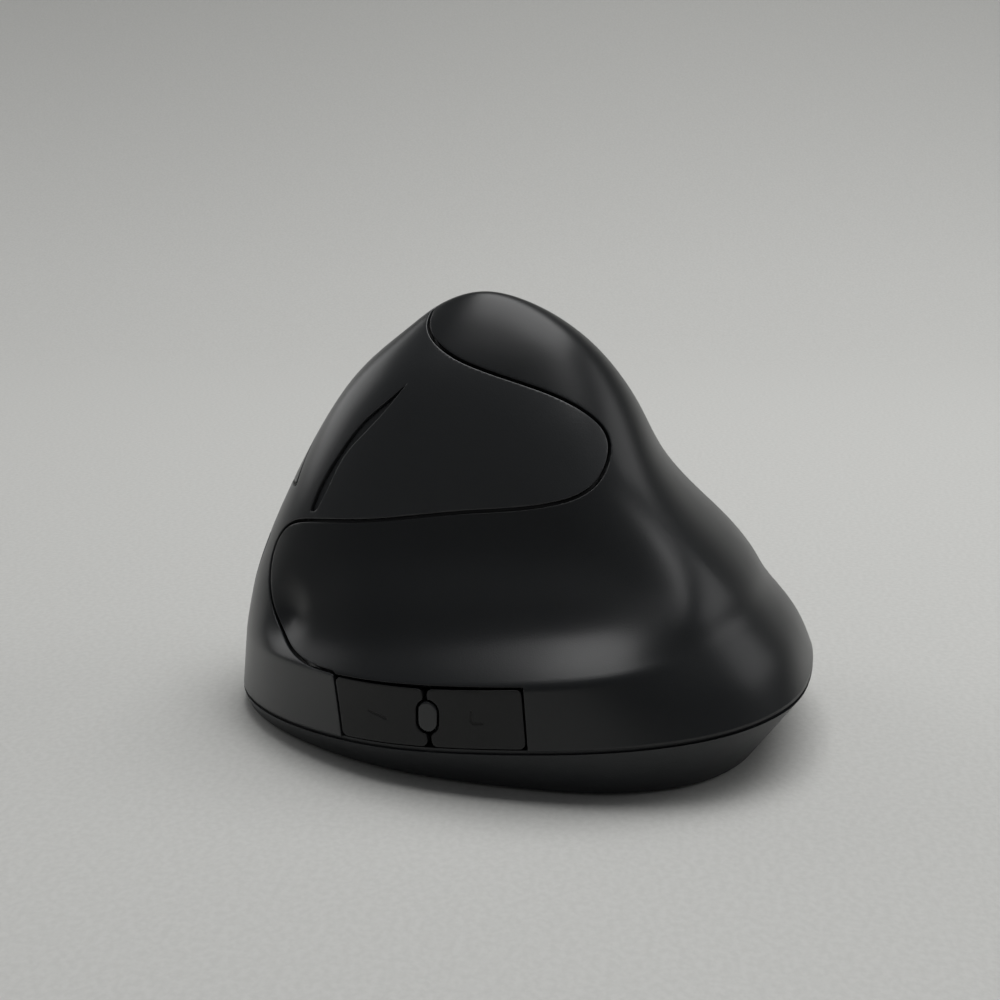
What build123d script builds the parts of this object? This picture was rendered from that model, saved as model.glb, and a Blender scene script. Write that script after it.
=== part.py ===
from build123d import *
from math import cos, exp, pi, radians, sin, sqrt
import os

# A right-handed vertical ergonomic mouse, millimetres. +Y is the nose, +X the finger side,
# -X the thumb side and +Z up. The origin lies on the desk, under the middle of the body.

# Overall form
body_length = 103.0
body_width = 79.0
body_height = 75.0
foot_height = 0.6
wall = 2.0
seam_gap = 0.5
fit_gap = 0.3
cut_over = 5.0

# Joint between the base and the shells
groove_height = 0.6
groove_depth = 0.5

# Fasteners
screw_radius = 1.1
screw_head_radius = 2.1
screw_head_height = 1.3
screw_length = 7.5
screw_sink = 0.2
screw_clearance = 0.25
pilot_clearance = 0.03
boss_radius = 3.0
boss_foot = 12.0
rib_width = 2.4
rib_length = 4.0
board_screw_radius = 0.8
board_screw_head_radius = 1.5
board_screw_head_height = 0.9
board_screw_length = 3.4

# Circuit boards
board_thickness = 1.6
board_height = 7.2
board_edge = 5.6
board_post_radius = 2.2
board_boss_gap = 0.6
board_side_gap = 0.9
side_board_thickness = 1.2

# Finger side: the plane of the two main buttons and the wheel
finger_yaw = 20.0
finger_tilt = 27.0
window_round = 3.0
button_gap = 0.6
switch_length = 12.8
switch_width = 6.4
switch_height = 6.5
plunger_radius = 1.2
plunger_height = 0.6
plunger_room = 0.4
stem_radius = 1.8
stem_reach = 5.5
stem_forward = 2.0
upper_stem_rise = 13.0
lower_stem_drop = 9.4
finger_board_depth = 14.5
finger_board_front = 17.0
finger_board_back = 22.0
finger_board_rise = 19.0
finger_board_drop = 13.0
frame_thickness = 2.0
frame_margin = 1.0
frame_lug_back = 26.0
frame_lug_width = 6.0
leg_width = 3.6

# Scroll wheel
wheel_radius = 11.0
wheel_width = 6.0
wheel_proud = 3.4
wheel_side_gap = 0.5
wheel_end_gap = 1.2
wheel_web = 2.4
wheel_rim = 1.6
wheel_boss_radius = 3.2
tyre_thickness = 2.0
tyre_groove = 0.6
tyre_groove_width = 0.9
tyre_grooves = 24
axle_radius = 1.2
axle_clearance = 0.06
carrier_wall = 1.4
carrier_front = 4.5
carrier_back = 14.6
carrier_top = 5.0
carrier_bottom = 13.8
bridge_length = 2.4
bridge_top = 9.4
encoder_width = 3.0
encoder_side = 8.0
tact_size = 4.5
tact_body_height = 2.4
tact_height = 3.2
tact_plunger_radius = 1.0
tact_room = 0.6
wheel_tact_back = 13.4
dpi_length = 8.0
dpi_width = 4.2
dpi_back = 19.5
dpi_rise = 1.5
dpi_gap = 0.3
dpi_flange_top = 5.9
dpi_flange_thickness = 1.2
dpi_flange_rim = 0.6
dpi_post_radius = 1.4

# Thumb side
side_button_gap = 0.45
side_button_round = 1.0
side_yaw = 12.3
side_board_depth = 8.5
side_board_length = 30.0
side_board_drop = 4.0
side_board_rise = 3.2
side_tact_spacing = 17.0
side_tact_room = 0.7
side_post_radius = 1.5
side_post_sink = 1.5
lens_length = 3.2
lens_height = 5.0
lens_stem_radius = 1.2
strip_lens_depth = 1.1
strip_lens_gap = 0.2

# Power
cell_radius = 7.1
cell_length = 49.2
cell_tip_radius = 2.7
cell_tip_length = 1.3
cell_z = 10.3
cradle_gap = 1.0
cradle_wall = 1.8
cradle_end_wall = 1.4
cradle_height = 12.0
contact_thickness = 0.5
contact_width = 9.0
contact_height = 11.0
spring_reach = 3.4
door_thickness = 1.6
door_gap = 0.4
door_back_gap = 3.0
knuckle_radius = 1.8
knuckle_gap = 1.1
hinge_pin_radius = 0.8
hinge_pin_length = 1.4
hinge_clearance = 0.05
nail_notch_width = 8.0
nail_notch_length = 2.4
nail_notch_depth = 0.8
knob_length = 4.0
knob_width = 2.4
knob_throw = 3.0
knob_sink = 0.3
knob_neck_width = 1.6
knob_neck_rise = 4.6
power_switch_length = 11.0
power_switch_width = 5.0
power_switch_height = 3.6

# Sensing and radio
sensor_length = 11.0
sensor_width = 9.0
sensor_height = 2.4
sensor_hole_radius = 3.6
lens_plate_length = 15.0
lens_plate_width = 12.0
lens_plate_height = 2.2
lens_boss_radius = 3.2
lens_boss_drop = 1.2
receiver_width = 14.4
receiver_length = 18.6
receiver_thickness = 5.2
receiver_cap_length = 7.0
plug_width = 12.0
plug_thickness = 4.5
plug_wall = 0.4
pocket_wall = 1.0

# Glide feet
foot_thickness = 0.9
front_foot_length = 26.0
front_foot_width = 7.0
rear_foot_length = 19.0
rear_foot_width = 4.4
foot_gap = 0.1

half_length = body_length / 2
half_width = body_width / 2

# Places of the inner pieces, as shares of the half length along Y, of the half width across X
# and of the height up Z
front_screw_shares = (0.038, 0.893)
thumb_screw_shares = (-0.684, -0.350)
heel_screw_shares = (0.734, -0.388)
front_post_shares = (-0.430, 0.505)
middle_post_shares = (0.020, -0.272)
thumb_post_shares = (-0.633, -0.078)
front_leg_shares = (0.319, 0.711)
rear_leg_shares = (0.706, -0.031)
sensor_shares = (-0.177, 0.194)
switch_shares = (-0.481, -0.165)
receiver_shares = (-0.342, -0.510)
front_foot_shares = (0.038, 0.689)
rear_foot_shares = (0.106, -0.753)
finger_shares = (0.681, 0.466, 0.509)
side_shares = (-0.949, 0.171, 0.171)
cell_shares = (0.395, -0.073)
board_end_shares = (-0.748, 0.602)


def place_of(shares):
    """A place that keeps its share of the half width, the half length and the height."""
    return tuple(share * size for share, size in zip(shares, (half_width, half_length, body_height)))


front_screw_x, front_screw_y = place_of(front_screw_shares)
thumb_screw_x, thumb_screw_y = place_of(thumb_screw_shares)
heel_screw_x, heel_screw_y = place_of(heel_screw_shares)
front_post_x, front_post_y = place_of(front_post_shares)
middle_post_x, middle_post_y = place_of(middle_post_shares)
thumb_post_x, thumb_post_y = place_of(thumb_post_shares)
front_leg_x, front_leg_y = place_of(front_leg_shares)
rear_leg_x, rear_leg_y = place_of(rear_leg_shares)
sensor_x, sensor_y = place_of(sensor_shares)
switch_x, switch_y = place_of(switch_shares)
receiver_x, receiver_y = place_of(receiver_shares)
front_foot_x, front_foot_y = place_of(front_foot_shares)
rear_foot_x, rear_foot_y = place_of(rear_foot_shares)
finger_x, finger_y, finger_z = place_of(finger_shares)
side_x, side_y, side_z = place_of(side_shares)
cell_x, cell_middle_y = place_of(cell_shares)
board_rear_y, board_front_y = (share * half_length for share in board_end_shares)
cell_back_y = cell_middle_y - (cell_length + cell_tip_length) / 2
board_right_x = cell_x - cell_radius - cradle_gap - cradle_wall - board_side_gap

# Body stations, from the base joint to the crown. Heights are shares of the height, fronts,
# rears and middles along Y of the half length, sides and middles across X of the half width.
# The slope tips a station down towards the nose. The last five are the lean of the wall, the
# fullness of the front left, front right, rear left and rear right quarters, and the dent.
station_shares = [
    (0.1115, 0.090, 1.000, -1.000, -1.000, 1.000, -0.213, 0.038, 1.00, 1.82, 2.1, 2.75, 2.2, 0.000),
    (0.1790, 0.105, 0.991, -0.974, -0.990, 0.997, -0.193, 0.038, 1.00, 1.82, 2.1, 2.60, 2.2, 0.000),
    (0.2465, 0.120, 0.982, -0.898, -0.980, 0.987, -0.154, 0.038, 1.00, 1.80, 2.1, 2.65, 2.2, 0.000),
    (0.2732, 0.120, 0.976, -0.853, -0.886, 0.975, -0.154, 0.038, 1.75, 1.95, 2.2, 2.50, 2.2, 0.000),
    (0.3129, 0.115, 0.964, -0.782, -0.772, 0.957, -0.154, 0.038, 1.60, 2.20, 2.2, 2.40, 2.2, 0.025),
    (0.3793, 0.110, 0.941, -0.679, -0.658, 0.914, -0.135, 0.038, 1.30, 2.40, 2.2, 2.30, 2.2, 0.051),
    (0.4720, 0.100, 0.888, -0.589, -0.582, 0.843, -0.096, 0.038, 1.20, 2.50, 2.2, 2.20, 2.2, 0.038),
    (0.5910, 0.080, 0.795, -0.481, -0.519, 0.722, -0.018, 0.038, 1.15, 2.60, 2.2, 2.20, 2.2, 0.000),
    (0.7227, 0.050, 0.673, -0.391, -0.430, 0.557, 0.059, 0.038, 1.20, 2.60, 2.2, 2.20, 2.2, 0.000),
    (0.8416, 0.030, 0.525, -0.283, -0.317, 0.380, 0.117, 0.013, 1.40, 2.50, 2.2, 2.20, 2.2, 0.000),
    (0.9205, 0.010, 0.374, -0.170, -0.203, 0.210, 0.108, -0.013, 1.75, 2.30, 2.2, 2.30, 2.2, 0.000),
    (0.9760, 0.000, 0.253, -0.032, -0.101, 0.076, 0.114, -0.013, 2.00, 2.10, 2.1, 2.10, 2.1, 0.000),
]
crown_shares = (-0.013, 0.117)
sole_shares = (0.991, -0.845, -0.885, 0.900, -0.213, 0.038)
sole_fullness_share = (1.82, 2.1, 2.6, 2.2)
dent_place_share = -0.077
dent_spread_share = 0.49
crease_station = 2
section_points = 20


def plane_at(height, slope):
    """A plane across the body that drops by slope for each millimetre towards the nose."""
    return Plane(origin=(0, 0, height), x_dir=(1, 0, 0), z_dir=(0, slope, 1))


def oval(front, rear, left, right, middle_y, middle_x, fullness, dent=0.0):
    """Points of an egg-shaped outline whose four quarters have their own fullness."""
    points = []
    for step in range(section_points):
        angle = 2 * pi * step / section_points
        across, along = cos(angle), sin(angle)
        to_front, to_right = (1 + along) / 2, (1 + across) / 2
        front_part = (1 - to_right) * fullness[0] + to_right * fullness[1]
        rear_part = (1 - to_right) * fullness[2] + to_right * fullness[3]
        power = 2 / (to_front * front_part + (1 - to_front) * rear_part)
        reach_x = right - middle_x if across > 0 else middle_x - left
        reach_y = front - middle_y if along > 0 else middle_y - rear
        x = middle_x + reach_x * (1 if across > 0 else -1) * abs(across) ** power
        y = middle_y + reach_y * (1 if along > 0 else -1) * abs(along) ** power
        from_dent = (y - dent_place_share * half_length) / (dent_spread_share * half_length)
        x += dent * exp(-from_dent * from_dent) * max(0, -across)
        points.append((x, y))
    return points


def ring(plane, slope, points):
    """A smooth closed face through points, which are measured level, on a tipped plane."""
    stretch = sqrt(1 + slope * slope)
    flat = [Vector(x, y * stretch, 0) for x, y in points]
    count = len(flat)
    steps = count // 4
    knots = [step / steps for step in range(steps + 1)]

    def run(place):
        """The outline's direction and speed at a point, from the two points on each side."""
        near = flat[(place + 1) % count] - flat[place - 1]
        wide = flat[(place + 2) % count] - flat[place - 2]
        return (near * 8 - wide) * (steps / 12)

    quarters = []
    for first in range(0, count, steps):
        last = (first + steps) % count
        quarter = [flat[(first + step) % count] for step in range(steps + 1)]
        quarters.append(plane * Edge.make_spline(quarter, tangents=[run(first), run(last)],
                                                 parameters=knots, scale=False))
    return Face(Wire(quarters))


def station_ring(number, inset=0.0, drop=0.0):
    """The body's outline at one station, drawn in by inset and moved down by drop."""
    (height, slope, front, rear, left, right, middle_y, middle_x, lean,
     front_left, front_right, rear_left, rear_right, dent) = station_shares[number]
    drawn = inset * lean
    points = oval(front * half_length - drawn, rear * half_length + drawn,
                  left * half_width + drawn, right * half_width - drawn,
                  middle_y * half_length, middle_x * half_width,
                  (front_left, front_right, rear_left, rear_right), dent * half_width)
    return ring(plane_at(height * body_height - drop, slope), slope, points)


def sole_ring(height, inset):
    front, rear, left, right, middle_y, middle_x = sole_shares
    points = oval(front * half_length - inset, rear * half_length + inset,
                  left * half_width + inset, right * half_width - inset,
                  middle_y * half_length, middle_x * half_width, sole_fullness_share)
    return ring(plane_at(height, 0), 0, points)


crown_x = crown_shares[0] * half_width
crown_y = crown_shares[1] * half_length
seam_height, seam_slope = station_shares[0][0] * body_height, station_shares[0][1]
crease_height, crease_slope = (station_shares[crease_station][0] * body_height,
                               station_shares[crease_station][1])


def seam_z(y):
    return seam_height - seam_slope * y


def crease_z(y):
    return crease_height - crease_slope * y


# Solid forms that the shells are cut from: the band above the base joint and the hand form
def lofted(inset, first, last, crown=()):
    """A smooth solid through the stations from first to last, and to the crown's point."""
    sections = [station_ring(number, inset) for number in range(first, last + 1)]
    with BuildPart() as form:
        loft(sections=sections + list(crown), clean=False)
    return form.part


with BuildPart() as band_form:
    add(lofted(0.0, 0, crease_station), clean=False)
with BuildPart() as body_form:
    add(band_form.part, clean=False)
    add(lofted(0.0, crease_station, len(station_shares) - 1,
               [Vertex(crown_x, crown_y, body_height)]), clean=False)
with BuildPart() as band_room:
    add(lofted(wall, 0, crease_station), clean=False)
with BuildPart() as body_room:
    add(band_room.part, clean=False)
    add(lofted(wall, crease_station, len(station_shares) - 2,
               [Vertex(crown_x, crown_y, body_height - wall)]), clean=False)

# Outline of the front cover on the thumb side, in Y and Z: the tongue at the crown, the leaf
# with its rounded tip, the front of the thumb scoop and the crease, as shares of the half
# length and of the height
leaf_shares = [
    (0.258, 0.976), (0.291, 0.930), (0.241, 0.888), (0.120, 0.852), (-0.060, 0.816),
    (-0.228, 0.766), (-0.318, 0.694), (-0.295, 0.632), (-0.170, 0.588), (0.110, 0.561),
    (0.400, 0.530), (0.630, 0.506), (0.742, 0.482), (0.812, 0.420), (0.824, 0.350),
    (0.790, 0.280), (0.712, 0.233), (0.600, 0.213), (0.510, 0.214),
]
side_window_shares = [(0.502, 0.215), (0.471, 0.080), (-0.147, 0.110), (-0.128, 0.265)]
side_split_shares = [(0.183, 0.240), (0.160, 0.105)]
# Outline of the front cover on the finger side
palm_seam_shares = [
    (0.258, 0.976), (0.150, 0.900), (0.030, 0.800), (-0.090, 0.670), (-0.150, 0.520),
    (-0.140, 0.360), (-0.050, 0.220), (0.090, 0.100),
]
front_reach = half_length + cut_over


def places(shares):
    """Shares of the half length and of the height, as places in the side view."""
    return [(along * half_length, up * body_height) for along, up in shares]


def nose_places(shares):
    """Shares of the half width and of the height, as places in the nose view."""
    return [(across * half_width, up * body_height) for across, up in shares]


def spread(points, gap):
    """The points of an open curve, moved by gap to the right of the way they run."""
    moved = []
    for place, (across, up) in enumerate(points):
        before, after = points[max(place - 1, 0)], points[min(place + 1, len(points) - 1)]
        run_across, run_up = after[0] - before[0], after[1] - before[1]
        length = sqrt(run_across * run_across + run_up * run_up)
        moved.append((across + gap * run_up / length, up - gap * run_across / length))
    return moved


side_view = Plane.YZ.offset(crown_x)
nose_view = Plane((0, 0, 0), x_dir=(1, 0, 0), z_dir=(0, -1, 0))
far = body_length
top = body_height + cut_over


def cover_space(gap):
    """The front cover's side of its seam with the grip shell, grown by a gap."""
    with BuildSketch(side_view) as thumb:
        with BuildLine():
            curve = Spline(*spread(places(leaf_shares), gap))
            window_front = spread(places(side_window_shares)[:2], gap)
            foot_y = window_front[1][0]
            Polyline(curve @ 1, window_front[0], window_front[1], (foot_y, -cut_over),
                     (front_reach, -cut_over), (front_reach, top), ((curve @ 0).X, top), curve @ 0)
        make_face()
    with BuildSketch(side_view) as finger:
        with BuildLine():
            curve = Spline(*spread(places(palm_seam_shares), gap))
            Polyline(curve @ 1, ((curve @ 1).X, -cut_over), (front_reach, -cut_over),
                     (front_reach, top), ((curve @ 0).X, top), curve @ 0)
        make_face()
    with BuildPart() as space:
        extrude(thumb.sketch, amount=-far)
        extrude(finger.sketch, amount=far)
    return space.part


# Windows of the two main buttons: their outlines in the side view, and how far they reach
# round the nose in the nose view
upper_window_shares = [(-0.080, 0.602), (0.035, 0.767), (0.250, 0.900), (1.100, 0.900), (1.100, 0.531)]
upper_nose_shares = [(-0.250, 0.480), (-0.245, 0.600), (-0.130, 0.740), (0.030, 0.880)]
lower_window_shares = [(-0.085, 0.478), (-0.085, 0.360), (-0.020, 0.272), (1.100, 0.205), (1.100, 0.413)]
lower_nose_share = -0.150


def window(number, clearance):
    """The space of the upper (0) or the lower (1) main button, grown by a clearance."""
    outline_shares = (upper_window_shares, lower_window_shares)[number]
    with BuildSketch(Plane.YZ.offset(-half_width)) as outline:
        with BuildLine():
            Polyline(*places(outline_shares), close=True)
        make_face()
        near = outline.vertices().sort_by(Axis.Y)[:3]
        fillet(near, window_round)
        offset(amount=clearance, mode=Mode.REPLACE)
    with BuildSketch(nose_view) as reach:
        with BuildLine():
            if number == 0:
                edge = Spline(*spread(nose_places(upper_nose_shares), -clearance))
            else:
                left = lower_nose_share * half_width - clearance
                edge = Line((left, 0), (left, body_height / 2))
            Polyline(edge @ 1, (body_width, (edge @ 1).Y), (body_width, (edge @ 0).Y), edge @ 0)
        make_face()
    with BuildPart() as space:
        extrude(outline.sketch, amount=far)
        extrude(reach.sketch, amount=far, both=True, mode=Mode.INTERSECT, clean=False)
    return space.part


with BuildPart() as skin:
    add(body_form.part, clean=False)
    add(body_room.part, mode=Mode.SUBTRACT, clean=False)
with BuildPart() as band_skin:
    add(band_form.part, clean=False)
    add(band_room.part, mode=Mode.SUBTRACT, clean=False)

# Planes that the inner pieces are built on
yaw, tilt = radians(finger_yaw), radians(finger_tilt)
finger_out = Vector(cos(yaw) * cos(tilt), sin(yaw) * cos(tilt), sin(tilt))
finger_plane = Plane((finger_x, finger_y, finger_z), x_dir=(-sin(yaw), cos(yaw), 0),
                     z_dir=finger_out)
turn = radians(side_yaw)
thumb_out = Vector(-cos(turn), sin(turn), 0)
thumb_plane = Plane((side_x, side_y, side_z), x_dir=(-sin(turn), -cos(turn), 0), z_dir=thumb_out)
floor_z = foot_height + wall


def bar(plane, middle_x, middle_y, length, width, height, side=Align.MIN):
    """A solid bar on a plane, in its own frame."""
    return plane * Pos(middle_x, middle_y, 0) * Box(
        length, width, height, align=(Align.CENTER, Align.CENTER, side), mode=Mode.PRIVATE)


def rod(plane, middle_x, middle_y, radius, height):
    """A round rod that stands on a plane, in the plane's frame."""
    return plane * Pos(middle_x, middle_y, 0) * Cylinder(
        radius, height, align=(Align.CENTER, Align.CENTER, Align.MIN), mode=Mode.PRIVATE)


# Thumb side: the window of the two side buttons lies between the base joint and the crease
window_corners = places(side_window_shares)
split_corners = places(side_split_shares)


def side_prism(corners, gap, notch):
    """The space of a side button or of their window, behind an outline in the side view."""
    with BuildSketch(side_view) as outline:
        with BuildLine():
            Polyline(*corners, close=True)
        make_face()
        if gap > 0:
            offset(amount=-gap, kind=Kind.INTERSECTION, mode=Mode.REPLACE)
            fillet(outline.vertices(), side_button_round)
        if notch > 0:
            with Locations((side_y, side_z)):
                SlotOverall(lens_height + notch * 2, lens_length + notch * 2, rotation=90,
                            mode=Mode.SUBTRACT)
    with BuildPart() as space:
        extrude(outline.sketch, amount=-far)
    return space.part


front_top_y, front_foot_corner = window_corners[0][0], window_corners[1]
rear_foot_corner, rear_top_y = window_corners[2], window_corners[3][0]
split_top_y, split_foot_y = split_corners[0][0], split_corners[1][0]
front_top = (front_top_y, crease_z(front_top_y))
rear_top = (rear_top_y, crease_z(rear_top_y))
split_top = (split_top_y, crease_z(split_top_y))
split_foot = (split_foot_y, seam_z(split_foot_y))
front_foot_place = (front_foot_corner[0], seam_z(front_foot_corner[0]))
rear_foot_place = (rear_foot_corner[0], seam_z(rear_foot_corner[0]))
side_window = side_prism([front_top, front_foot_corner, rear_foot_corner, rear_top], 0, 0)


def side_button_form(corners):
    """A side button: its part of the band, with the post that reaches for its switch."""
    with BuildPart() as form:
        add(band_skin.part, clean=False)
        add(side_prism(corners, side_button_gap / 2, side_button_gap), mode=Mode.INTERSECT,
            clean=False)
    return form.part


side_post_depth = side_board_depth - tact_height - side_tact_room
side_post_plane = thumb_plane.offset(-side_post_depth)
with BuildPart() as front_side_button:
    add(side_button_form([front_top, front_foot_place, split_foot, split_top]), clean=False)
    add(rod(side_post_plane, -side_tact_spacing / 2, 0, side_post_radius,
            side_post_depth - side_post_sink), clean=False)
with BuildPart() as rear_side_button:
    add(side_button_form([split_top, split_foot, rear_foot_place, rear_top]), clean=False)
    add(rod(side_post_plane, side_tact_spacing / 2, 0, side_post_radius,
            side_post_depth - side_post_sink), clean=False)

with BuildSketch(side_view) as lens_outline:
    with Locations((side_y, side_z)):
        SlotOverall(lens_height, lens_length, rotation=90)
with BuildPart() as side_indicator_lens:
    extrude(lens_outline.sketch, amount=-far)
    add(band_skin.part, mode=Mode.INTERSECT, clean=False)
    add(rod(thumb_plane.offset(-side_board_depth), 0, 0, lens_stem_radius,
            side_board_depth - side_post_sink), clean=False)

side_board_plane = thumb_plane.offset(-side_board_depth)
side_board_middle = (side_board_rise - side_board_drop) / 2
with BuildPart() as side_board:
    add(bar(side_board_plane, 0, side_board_middle, side_board_length,
            side_board_rise + side_board_drop, side_board_thickness, Align.MAX))
with BuildPart() as side_switches:
    for place in (-side_tact_spacing / 2, side_tact_spacing / 2):
        add(bar(side_board_plane, place, 0, tact_size, tact_size, tact_body_height))
        add(rod(side_board_plane, place, 0, tact_plunger_radius, tact_height))

# Slot with a light strip, at the front of the leaf
slot_front_shares = [(0.332, 0.816), (0.402, 0.773), (0.470, 0.733), (0.546, 0.669),
                     (0.583, 0.631), (0.652, 0.539), (0.662, 0.517)]
slot_rear_shares = [(0.637, 0.521), (0.594, 0.577), (0.542, 0.648), (0.476, 0.700),
                    (0.400, 0.757), (0.332, 0.816)]


def slot_prism(inset):
    """The space of the slot, drawn in by inset."""
    with BuildSketch(side_view) as outline:
        with BuildLine():
            pulled = 1 if inset > 0 else 0
            front = Spline(*spread(places(slot_front_shares), inset)[pulled:])
            rear = Spline(*spread(places(slot_rear_shares), inset)[:len(slot_rear_shares) - pulled])
            Line(front @ 1, rear @ 0)
            if inset > 0:
                Line(rear @ 1, front @ 0)
        make_face()
    with BuildPart() as space:
        extrude(outline.sketch, amount=-far)
    return space.part


with BuildPart() as indicator_strip:
    add(skin.part, clean=False)
    add(slot_prism(strip_lens_gap), mode=Mode.INTERSECT, clean=False)
indicator_strip.part = Pos(strip_lens_depth, 0, 0) * indicator_strip.part

# Screw places and the bosses that hang from the shells
front_places = [(front_screw_x, front_screw_y)]
grip_places = [(thumb_screw_x, thumb_screw_y), (heel_screw_x, heel_screw_y)]
screw_seat_z = foot_height + screw_sink + screw_head_height


def bosses(spots, tall):
    """Hollow pillars on the base's floor; tall ones reach the shell above them."""
    with BuildPart() as pillars:
        if tall:
            for x, y in spots:
                add(rod(Plane.XY, x, y, boss_radius, body_height), clean=False)
            add(body_form.part, mode=Mode.INTERSECT, clean=False)
        for x, y in spots:
            add(rod(Plane.XY.offset(floor_z), x, y, boss_radius, boss_foot), clean=False)
            add(rod(Plane.XY, x, y, screw_radius + pilot_clearance, screw_seat_z + screw_length
                    + screw_clearance), mode=Mode.SUBTRACT, clean=False)
    return pillars.part


with BuildPart() as front_rib:
    add(bar(Plane.XY, front_screw_x, front_screw_y + boss_radius + screw_radius, rib_width, rib_length,
            floor_z + boss_foot))
    add(band_form.part, mode=Mode.INTERSECT, clean=False)

# Outer shells
wheel_depth = wheel_radius - wheel_proud
slot_half_length = sqrt(wheel_radius ** 2 - (wheel_depth - wall) ** 2) + wheel_end_gap
slot_half_width = wheel_width / 2 + wheel_side_gap
through = finger_plane.offset(-wheel_depth)
with BuildPart() as front_cover:
    add(skin.part, clean=False)
    add(cover_space(0), mode=Mode.INTERSECT, clean=False)
    add(window(0, 0), mode=Mode.SUBTRACT, clean=False)
    add(window(1, 0), mode=Mode.SUBTRACT, clean=False)
    add(slot_prism(0), mode=Mode.SUBTRACT, clean=False)
    add(bar(through, 0, 0, slot_half_length * 2, slot_half_width * 2, wheel_depth * 2),
        mode=Mode.SUBTRACT, clean=False)
    add(bar(through, -dpi_back, dpi_rise, dpi_length + dpi_gap * 2, dpi_width + dpi_gap * 2,
            wheel_depth * 2), mode=Mode.SUBTRACT, clean=False)
    add(bosses(front_places, False), clean=False)
    add(front_rib.part, clean=False)
with BuildPart() as grip_shell:
    add(skin.part, clean=False)
    add(cover_space(seam_gap), mode=Mode.SUBTRACT, clean=False)
    add(side_window, mode=Mode.SUBTRACT, clean=False)
    add(bosses(grip_places, True), clean=False)

# Main buttons, each with the stem that reaches for its switch
switch_top = finger_board_depth - switch_height
stem_depth = switch_top - plunger_height - plunger_room


def main_button(number, across):
    with BuildPart() as form:
        add(rod(finger_plane.offset(-stem_depth), stem_forward, across, stem_radius,
                stem_reach), clean=False)
        add(body_form.part, mode=Mode.INTERSECT, clean=False)
        add(window_skin(number), clean=False)
    return form.part


def window_skin(number):
    """The part of the skin that fills a main button's window, less the gap."""
    with BuildPart() as form:
        add(skin.part, clean=False)
        add(window(number, -button_gap), mode=Mode.INTERSECT, clean=False)
    return form.part


with BuildPart() as left_button:
    add(main_button(0, upper_stem_rise), clean=False)
with BuildPart() as right_button:
    add(main_button(1, -lower_stem_drop), clean=False)

# Board and frame behind the main buttons
board_face = finger_plane.offset(-finger_board_depth)
frame_face = finger_plane.offset(-finger_board_depth - board_thickness)
finger_board_length = finger_board_front + finger_board_back
finger_board_width = finger_board_rise + finger_board_drop
finger_board_x = (finger_board_front - finger_board_back) / 2
finger_board_y = (finger_board_rise - finger_board_drop) / 2
with BuildPart() as finger_board:
    add(bar(board_face, finger_board_x, finger_board_y, finger_board_length,
            finger_board_width, board_thickness, Align.MAX))
    add(bar(board_face, 0, 0, wheel_radius * 2, wheel_width + wheel_side_gap * 2,
            board_thickness * 2, Align.CENTER), mode=Mode.SUBTRACT)
with BuildPart() as finger_frame:
    add(bar(frame_face, finger_board_x, finger_board_y, finger_board_length - frame_margin * 2,
            finger_board_width - frame_margin * 2, frame_thickness, Align.MAX))
    add(bar(frame_face, -(finger_board_back + frame_lug_back) / 2 + frame_margin,
            -finger_board_drop + frame_margin + frame_lug_width / 2,
            frame_lug_back - finger_board_back + frame_margin, frame_lug_width,
            frame_thickness, Align.MAX))
    add(bar(frame_face, 0, 0, wheel_radius * 2, wheel_width + wheel_side_gap * 2,
            frame_thickness * 4, Align.CENTER), mode=Mode.SUBTRACT)
with BuildPart() as legs:
    for x, y in ((front_leg_x, front_leg_y), (rear_leg_x, rear_leg_y)):
        add(bar(Plane.XY.offset(floor_z), x, y, leg_width, leg_width, finger_z))
    add(bar(finger_plane.offset(-finger_board_depth - board_thickness - frame_thickness / 2),
            0, 0, body_length, body_length, body_length), mode=Mode.SUBTRACT)
with BuildPart() as finger_frame_whole:
    add(finger_frame.part, clean=False)
    add(legs.part, clean=False)

# Switches of the main buttons
with BuildPart() as left_switch:
    add(bar(board_face, 0, upper_stem_rise, switch_length, switch_width, switch_height))
    add(rod(board_face, stem_forward, upper_stem_rise, plunger_radius,
            switch_height + plunger_height))
with BuildPart() as right_switch:
    add(bar(board_face, 0, -lower_stem_drop, switch_length, switch_width, switch_height))
    add(rod(board_face, stem_forward, -lower_stem_drop, plunger_radius,
            switch_height + plunger_height))
with BuildPart() as wheel_switch:
    add(bar(board_face, -wheel_tact_back, 0, tact_size, tact_size, tact_body_height))
    add(rod(board_face, -wheel_tact_back, 0, tact_plunger_radius, tact_height))
with BuildPart() as dpi_switch:
    add(bar(board_face, -dpi_back, dpi_rise, tact_size, tact_size, tact_body_height))
    add(rod(board_face, -dpi_back, dpi_rise, tact_plunger_radius, tact_height))

# Scroll wheel: a hub with its axle, a ribbed tyre, the carrier that slides when the wheel is
# pressed, and the rotary encoder on the carrier
axis_plane = Plane(finger_plane.origin - finger_out * wheel_depth, x_dir=finger_plane.x_dir,
                   z_dir=finger_plane.y_dir)
hub_radius = wheel_radius - tyre_thickness
carrier_inner = wheel_width / 2 + wheel_side_gap
carrier_outer = carrier_inner + carrier_wall
with BuildPart() as scroll_wheel:
    add(rod(axis_plane.offset(-wheel_width / 2), 0, 0, hub_radius, wheel_width))
    for face_plane in (axis_plane.offset(wheel_web / 2), axis_plane.offset(-wheel_width / 2)):
        with BuildSketch(face_plane):
            Circle(hub_radius - wheel_rim)
            Circle(wheel_boss_radius, mode=Mode.SUBTRACT)
        extrude(amount=(wheel_width - wheel_web) / 2, mode=Mode.SUBTRACT)
    add(rod(axis_plane.offset(-carrier_outer), 0, 0, axle_radius,
            carrier_outer * 2 + encoder_width / 2))
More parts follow.
